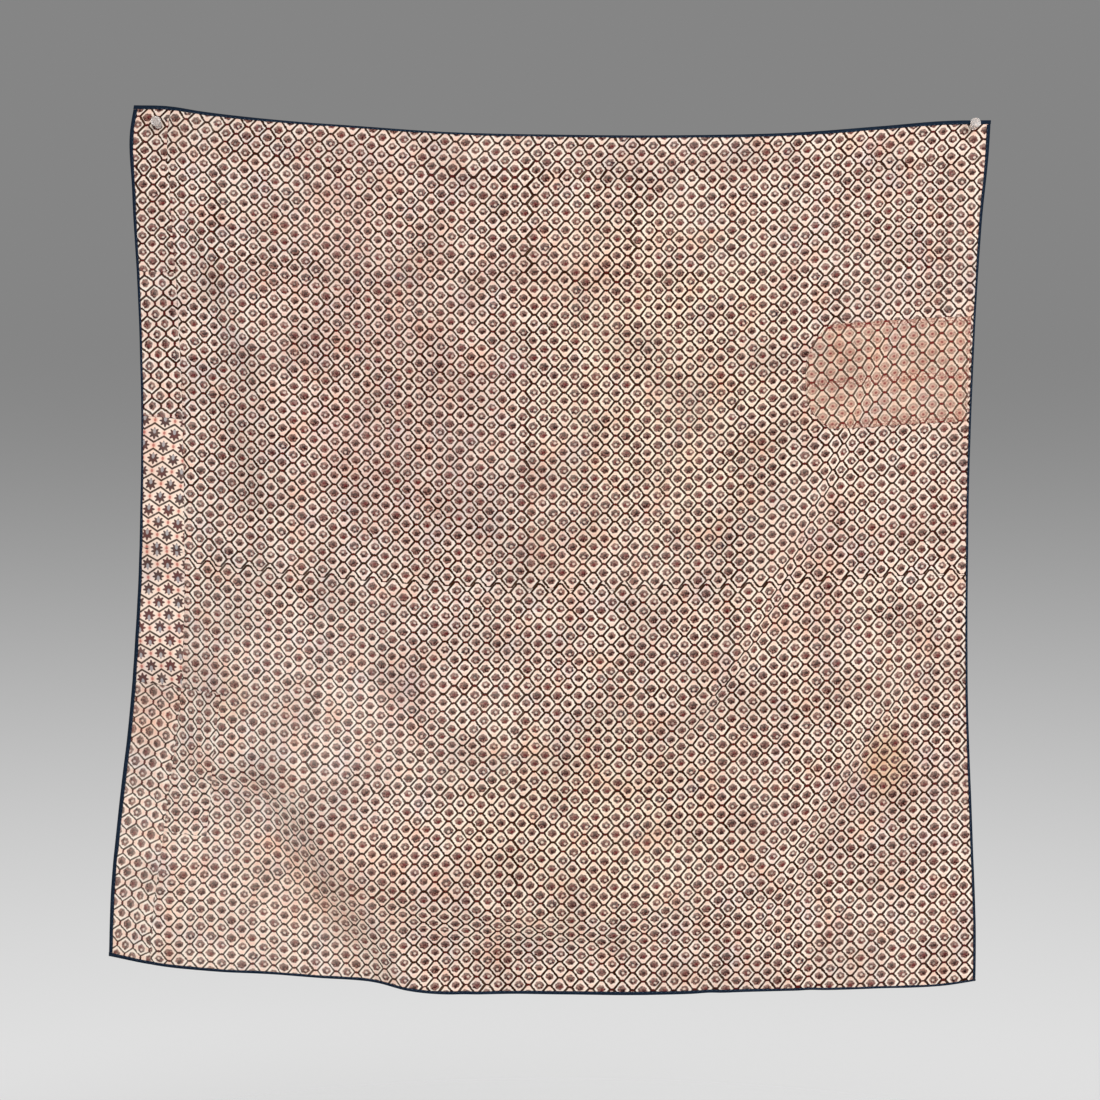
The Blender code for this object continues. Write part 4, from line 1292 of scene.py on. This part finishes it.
def stitch_nodes():
    """Geometry nodes that lay short threads along a path, each a little uneven."""
    tree = bpy.data.node_groups.new("stitches_along_a_path", "GeometryNodeTree")
    face = tree.interface
    face.new_socket("Path", in_out="INPUT", socket_type="NodeSocketGeometry")
    for label, value in (("Pitch", 4.5 * MM), ("Length", 2.4 * MM), ("Thread Radius", 0.2 * MM),
                         ("Slant", 0.0), ("Unevenness", 0.3 * MM)):
        socket = face.new_socket(label, in_out="INPUT", socket_type="NodeSocketFloat")
        socket.default_value = value
    face.new_socket("Seed", in_out="INPUT", socket_type="NodeSocketInt")
    face.new_socket("Thread", in_out="INPUT", socket_type="NodeSocketMaterial")
    face.new_socket("Stitches", in_out="OUTPUT", socket_type="NodeSocketGeometry")

    def node(kind, **settings):
        made = tree.nodes.new(kind)
        for key, value in settings.items():
            setattr(made, key, value)
        return made

    def join(output, slot):
        tree.links.new(output, slot)

    given = node("NodeGroupInput").outputs
    curve = node("GeometryNodeMeshToCurve")
    join(given["Path"], curve.inputs["Mesh"])
    even = node("GeometryNodeResampleCurve", mode="LENGTH")
    join(curve.outputs[0], even.inputs["Curve"])
    join(given["Pitch"], even.inputs["Length"])

    sideways = node("GeometryNodeInputNamedAttribute", data_type="FLOAT_VECTOR")
    sideways.inputs["Name"].default_value = "sideways"
    off = node("FunctionNodeRandomValue", data_type="FLOAT")
    off.inputs["Min"].default_value = -1.0
    off.inputs["Max"].default_value = 1.0
    join(given["Seed"], off.inputs["Seed"])
    amount = node("ShaderNodeMath", operation="MULTIPLY")
    join(off.outputs["Value"], amount.inputs[0])
    join(given["Unevenness"], amount.inputs[1])
    shift = node("ShaderNodeVectorMath", operation="SCALE")
    join(sideways.outputs["Attribute"], shift.inputs[0])
    join(amount.outputs[0], shift.inputs["Scale"])

    tangent = node("GeometryNodeInputTangent")
    lean = node("ShaderNodeVectorMath", operation="SCALE")
    join(sideways.outputs["Attribute"], lean.inputs[0])
    join(given["Slant"], lean.inputs["Scale"])
    way = node("ShaderNodeVectorMath", operation="ADD")
    join(tangent.outputs[0], way.inputs[0])
    join(lean.outputs[0], way.inputs[1])
    aim = node("FunctionNodeAlignRotationToVector", axis="Z")
    join(way.outputs[0], aim.inputs["Vector"])

    placed = node("GeometryNodeSetPosition")
    join(even.outputs[0], placed.inputs["Geometry"])
    join(shift.outputs[0], placed.inputs["Offset"])

    bead = node("GeometryNodeMeshUVSphere")
    bead.inputs["Segments"].default_value = 6
    bead.inputs["Rings"].default_value = 5
    bead.inputs["Radius"].default_value = 1.0
    longer = node("FunctionNodeRandomValue", data_type="FLOAT")
    longer.inputs["Min"].default_value = 0.36
    longer.inputs["Max"].default_value = 0.60
    join(given["Seed"], longer.inputs["Seed"])
    half = node("ShaderNodeMath", operation="MULTIPLY")
    join(longer.outputs["Value"], half.inputs[0])
    join(given["Length"], half.inputs[1])
    size = node("ShaderNodeCombineXYZ")
    join(given["Thread Radius"], size.inputs[0])
    join(given["Thread Radius"], size.inputs[1])
    join(half.outputs[0], size.inputs[2])

    sewn = node("GeometryNodeInstanceOnPoints")
    join(placed.outputs[0], sewn.inputs["Points"])
    join(bead.outputs["Mesh"], sewn.inputs["Instance"])
    join(aim.outputs[0], sewn.inputs["Rotation"])
    join(size.outputs[0], sewn.inputs["Scale"])
    real = node("GeometryNodeRealizeInstances")
    join(sewn.outputs[0], real.inputs[0])
    dyed = node("GeometryNodeSetMaterial")
    join(real.outputs[0], dyed.inputs["Geometry"])
    join(given["Thread"], dyed.inputs["Material"])
    result = node("NodeGroupOutput")
    join(dyed.outputs[0], result.inputs["Stitches"])
    return tree


def stitched_piece(name, paths, tree, thread, **sizes):
    """Stitches along paths, each given as its points and the directions to its side."""
    points = np.concatenate([path for path, _ in paths])
    sideways = np.concatenate([side for _, side in paths])
    edges, start = [], 0
    for path, _ in paths:
        edges += [(start + k, start + k + 1) for k in range(len(path) - 1)]
        start += len(path)
    mesh = bpy.data.meshes.new(f"{name}_path")
    mesh.from_pydata(points.tolist(), edges, [])
    layer = mesh.attributes.new("sideways", "FLOAT_VECTOR", "POINT")
    layer.data.foreach_set("vector", sideways.astype(np.float32).ravel())
    guide = bpy.data.objects.new(f"{name}_path", mesh)
    bpy.context.scene.collection.objects.link(guide)
    sewing = guide.modifiers.new("stitches", "NODES")
    sewing.node_group = tree
    for item in tree.interface.items_tree:
        label = item.name.lower().replace(" ", "_")
        if item.in_out == "INPUT" and label in sizes:
            sewing[item.identifier] = sizes[label]
        elif item.in_out == "INPUT" and item.name == "Thread":
            sewing[item.identifier] = thread
    view = bpy.context.evaluated_depsgraph_get()
    made = bpy.data.meshes.new_from_object(guide.evaluated_get(view))
    if not made.polygons:
        raise RuntimeError(f"{name} has no stitches")
    bpy.data.objects.remove(guide, do_unlink=True)
    made.name = name
    made.shade_smooth()
    piece = bpy.data.objects.new(name, made)
    bpy.context.scene.collection.objects.link(piece)
    return piece


# Shares of an edge or the long seam between which it is stitched, and the small share by which
# a path's companion lies beside it
STITCHED_SPAN = (0.012, 0.988)
ASIDE = 0.002


def stitch_path(across, down, height, across_side, down_side):
    """Points of a path on the cloth and the directions from it towards a second path."""
    path = cloth_place(across, down, height)
    beside = cloth_place(across_side, down_side, height)
    way = beside - path
    return path, way / np.linalg.norm(way, axis=-1, keepdims=True)


def binding_paths(cloth, tape):
    """Paths along the free edges of the folded tape, front and back."""
    along = np.linspace(*STITCHED_SPAN, 180)
    outside = cloth.thickness / 2 + tape.clearance + tape.wall
    paths = []
    for side in BINDING_WIDTHS:
        inset = tape_width(side, along) - 0.7 * MM
        for height in (outside, -outside):
            paths.append(stitch_path(*edge_shares(side, along, inset), height,
                                     *edge_shares(side, along, inset + MM)))
    return paths


def seam_paths(cloth):
    """Paths along both sides of the long seam and of the strip's short ones."""
    top = cloth.thickness / 2 + 0.02 * MM
    down = np.linspace(*STITCHED_SPAN, 180)
    paths = []
    for offset in (-1.7 * MM, 1.7 * MM):
        across = seam_share(down) + offset / cloth_width(down)
        paths.append(stitch_path(across, down, top, across + ASIDE, down))
    for share in STRIP_BREAKS:
        seam = seam_share(share)
        across = np.linspace(0.2 * seam, 0.96 * seam, 12)
        for offset in (-1.6 * MM, 1.6 * MM):
            level = np.full_like(across, share + offset / HANGING_HEIGHT)
            paths.append(stitch_path(across, level, top, across, level + ASIDE))
    return paths


def patch_paths(cloth):
    """Paths just inside the four sides of the patch."""
    inset = 0.0044
    turn = np.linspace(0, 1, 40)
    low, high = PATCH["top"] + inset, PATCH["bottom"] - inset
    down = low + (high - low) * turn
    left = field_share(patch_left(down) + ASIDE, down)
    right = 1 - (binding_width("right", down) + 2.2 * MM) / cloth_width(down)
    top = cloth.thickness / 2 + cloth.patch_thickness + 0.30 * MM
    runs = [(left, down), (right, down),
            (left[0] + (right[0] - left[0]) * turn, np.full(40, low)),
            (left[-1] + (right[-1] - left[-1]) * turn, np.full(40, high))]
    return [stitch_path(a, d, top, a + ASIDE, d + ASIDE) for a, d in runs]


class HANGING_OT_stitches(bpy.types.Operator):
    """Sews the binding, the seams and the patch with small uneven stitches"""
    bl_idname = "hanging.stitches"
    bl_label = "Stitches"

    def execute(self, context):
        scene = context.scene
        cloth, tape, sewing = scene.hanging_cloth, scene.hanging_binding, scene.hanging_stitches
        tree = stitch_nodes()
        # Columns: name, paths, slot, thread and its colour, pitch, thickness of the thread
        # beside the setting, slant, unevenness in millimetres
        for name, paths, slot, thread, pitch, thick, slant, uneven in (
                ("binding_stitches", binding_paths(cloth, tape), "navy_cotton",
                 ("navy_thread", (0.020, 0.035, 0.065)), sewing.hem_pitch, 1.0, 0.25, 0.25),
                ("seam_stitches", seam_paths(cloth), "printed_cotton",
                 ("brown_thread", (0.20, 0.12, 0.09)), sewing.seam_pitch, 0.45, 0.1, 0.3),
                ("patch_stitches", patch_paths(cloth), "patch_cotton",
                 ("red_thread", (0.13, 0.018, 0.016)), sewing.patch_pitch, 1.4, 0.4, 0.4)):
            piece = stitched_piece(name, paths, tree, thread_material(*thread), pitch=pitch,
                                   length=sewing.length, thread_radius=sewing.thread * thick,
                                   slant=slant, unevenness=uneven * MM, seed=sewing.seed)
            settled(piece, slot)
        return {"FINISHED"}


def cloth_depth_at(x, z):
    """Depth of the middle of the solid cloth at a place on the front view."""
    place = np.array([x]), np.array([z])
    return BACK_ROOM + sum(float(fold_height(name, fold, *place)[0])
                           for name, fold in FOLDS.items())


def lathe_mesh(name, profile, sides, frame_of_pin):
    """A closed turned body. Columns of the profile: radius, height in metres."""
    shape = bmesh.new()
    rings = []
    for radius, height in profile:
        if radius == 0:
            rings.append([shape.verts.new((0, 0, height))])
        else:
            turn = [2 * math.pi * k / sides for k in range(sides)]
            rings.append([shape.verts.new((radius * math.cos(a), radius * math.sin(a), height))
                          for a in turn])
    for low, high in zip(rings, rings[1:]):
        for k in range(sides):
            n = (k + 1) % sides
            lower = low if len(low) == 1 else [low[k], low[n]]
            upper = high if len(high) == 1 else [high[n], high[k]]
            shape.faces.new(lower + upper)
    bmesh.ops.recalc_face_normals(shape, faces=shape.faces)
    mesh = bpy.data.meshes.new(name)
    shape.to_mesh(mesh)
    shape.free()
    mesh.transform(frame_of_pin)
    mesh.shade_smooth()
    mesh.set_sharp_from_angle(angle=math.radians(38))
    return mesh


# Profiles of a push pin from its flange's underside. Columns: radius, height in millimetres.
PIN_BODY = [(0, 8.0), (0.85, 8.0), (0.85, 0), (3.35, 0), (3.6, 0.2), (3.6, 0.75), (3.4, 1.05),
            (2.75, 1.7), (2.35, 2.5), (2.08, 3.5), (2.0, 4.5), (2.05, 5.6), (2.3, 6.6),
            (2.9, 7.55), (3.7, 8.3), (4.45, 8.95), (4.9, 9.5), (5.1, 10.1), (5.08, 10.7),
            (4.85, 11.25), (4.4, 11.6), (3.6, 11.9), (2.0, 12.05), (0, 12.1)]
PIN_NEEDLE = [(0, 7.7), (0.45, 7.7), (0.55, 7.55), (0.55, -8.5), (0.3, -9.8), (0, -11.0)]


class HANGING_OT_push_pins(bpy.types.Operator):
    """Makes the two clear push pins that hold the top corners"""
    bl_idname = "hanging.push_pins"
    bl_label = "Push Pins"

    def execute(self, context):
        pins = context.scene.hanging_pins
        clear, steel = clear_plastic(pins.plastic), drawn_steel()
        lean = Matrix.Rotation(math.pi / 2 - pins.tilt, 4, "X")
        flange = max(radius for radius, height in PIN_BODY if height < 1.0) * MM
        for side, x, z, over in (("left", -pins.span / 2, pins.step, 0.0),
                                 ("right", pins.span / 2, -pins.step, SOLID_GAP + SOLID_BINDING)):
            seat = cloth_depth_at(x, z) + SOLID_CLOTH / 2 + over + SOLID_GAP
            seat += flange * math.sin(pins.tilt)
            place = Matrix.Translation((x, -seat, z + seat * math.tan(pins.tilt))) @ lean
            for part, profile, material, slot in (
                    ("body", PIN_BODY, clear, "clear_plastic"),
                    ("needle", PIN_NEEDLE, steel, "steel")):
                name = f"pin_{part}_{side}"
                sized = [(radius * MM, height * MM) for radius, height in profile]
                piece = add_piece(name, lathe_mesh(name, sized, pins.sides, place), material)
                settled(piece, slot, name)
        return {"FINISHED"}


class HANGING_OT_declare_cloths(bpy.types.Operator):
    """Does nothing: it finishes at once and leaves the cloths as they are"""
    bl_idname = "hanging.declare_cloths"
    bl_label = "Declare Cloths"

    def execute(self, context):
        return {"FINISHED"}


# Middle of the view in millimetres, and the way and distance in metres from it to the soft light
VIEW_CENTRE = (-15.5, -12, -423)
LIGHT_WAY = (0.43, -0.86, 0.30)
LIGHT_DISTANCE = 4.0


class HANGING_OT_stage(bpy.types.Operator):
    """Sets up the floor, the soft light, the grey behind the cloth and the camera"""
    bl_idname = "hanging.stage"
    bl_label = "Floor, Light and Camera"

    def execute(self, context):
        scene, stage = context.scene, context.scene.hanging_stage
        reach = 2.4
        disc = bmesh.new()
        bmesh.ops.create_circle(disc, cap_ends=True, segments=96, radius=reach)
        mesh = bpy.data.meshes.new("floor")
        disc.to_mesh(mesh)
        disc.free()
        floor = add_piece("floor", mesh, floor_material(reach))
        floor.location = (0.0, -0.3, -stage.floor_drop)

        centre = Vector(VIEW_CENTRE) * MM
        key = bpy.data.lights.new("key_light", "AREA")
        key.shape = "DISK"
        key.size = 2.0
        key.energy = stage.key_light
        lamp = bpy.data.objects.new("key_light", key)
        lamp.location = centre + Vector(LIGHT_WAY).normalized() * LIGHT_DISTANCE
        lamp.rotation_euler = (centre - lamp.location).to_track_quat("-Z", "Y").to_euler()
        scene.collection.objects.link(lamp)

        grey_world(scene, stage)
        camera = bpy.data.cameras.new("camera")
        camera.sensor_width = 36.0
        camera.lens = camera.sensor_width * stage.distance / stage.view_width
        camera.clip_end = 50.0
        eye = bpy.data.objects.new("camera", camera)
        eye.location = centre + Vector((0, -stage.distance, 0))
        eye.rotation_euler = (math.pi / 2, 0, 0)
        scene.collection.objects.link(eye)
        scene.camera = eye
        scene.view_settings.view_transform = "Standard"
        return {"FINISHED"}


def grey_world(scene, stage):
    """Even light all round, seen as a grey that pales downwards."""
    world = bpy.data.worlds.new("grey")
    world.use_nodes = True
    scene.world = world
    tree = world.node_tree
    shown = tree.nodes["Background"]
    way = tree.nodes.new("ShaderNodeTexCoord")
    parts = tree.nodes.new("ShaderNodeSeparateXYZ")
    tree.links.new(way.outputs["Generated"], parts.inputs[0])
    pale = rise(Reading(tree, parts.outputs[2]) * -1, -0.13, 0.34)
    grey = tinted(tree, (stage.grey_high,) * 3, (stage.grey_low,) * 3, pale)
    feed(tree, shown.inputs["Color"], grey)
    even = tree.nodes.new("ShaderNodeBackground")
    even.inputs["Color"].default_value = (1.0, 1.0, 1.0, 1.0)
    even.inputs["Strength"].default_value = stage.fill_light
    ray = tree.nodes.new("ShaderNodeLightPath")
    either = tree.nodes.new("ShaderNodeMixShader")
    tree.links.new(ray.outputs["Is Camera Ray"], either.inputs[0])
    tree.links.new(even.outputs[0], either.inputs[1])
    tree.links.new(shown.outputs[0], either.inputs[2])
    tree.links.new(either.outputs[0], tree.nodes["World Output"].inputs["Surface"])


class HANGING_PT_panel(bpy.types.Panel):
    """Lists the steps that make the hanging, and its sizes and colours"""
    bl_label = "Printed Hanging"
    bl_idname = "HANGING_PT_panel"
    bl_space_type = "VIEW_3D"
    bl_region_type = "UI"
    bl_category = "Hanging"

    def draw(self, context):
        for step in STEPS:
            self.layout.operator(step.bl_idname)
        for name, group in SETTINGS.items():
            box = self.layout.box()
            for key in group.__annotations__:
                box.prop(getattr(context.scene, name), key)


SETTINGS = {"hanging_cloth": ClothSettings, "hanging_binding": BindingSettings,
            "hanging_stitches": StitchSettings, "hanging_pins": PinSettings,
            "hanging_stage": StageSettings}
STEPS = (HANGING_OT_main_cloth, HANGING_OT_edge_strips, HANGING_OT_sewn_patch,
         HANGING_OT_binding, HANGING_OT_stitches, HANGING_OT_push_pins,
         HANGING_OT_declare_cloths, HANGING_OT_stage)


def register():
    for group in SETTINGS.values():
        bpy.utils.register_class(group)
    for name, group in SETTINGS.items():
        setattr(bpy.types.Scene, name, PointerProperty(type=group))
    for step in (*STEPS, HANGING_PT_panel):
        bpy.utils.register_class(step)


def unregister():
    for step in (HANGING_PT_panel, *reversed(STEPS)):
        bpy.utils.unregister_class(step)
    for name in SETTINGS:
        delattr(bpy.types.Scene, name)
    for group in SETTINGS.values():
        bpy.utils.unregister_class(group)


def main():
    register()
    bpy.ops.hanging.main_cloth()
    bpy.ops.hanging.edge_strips()
    bpy.ops.hanging.sewn_patch()
    bpy.ops.hanging.binding()
    bpy.ops.hanging.stitches()
    bpy.ops.hanging.push_pins()
    bpy.ops.hanging.declare_cloths()
    bpy.ops.hanging.stage()


if __name__ == "__main__":
    main()
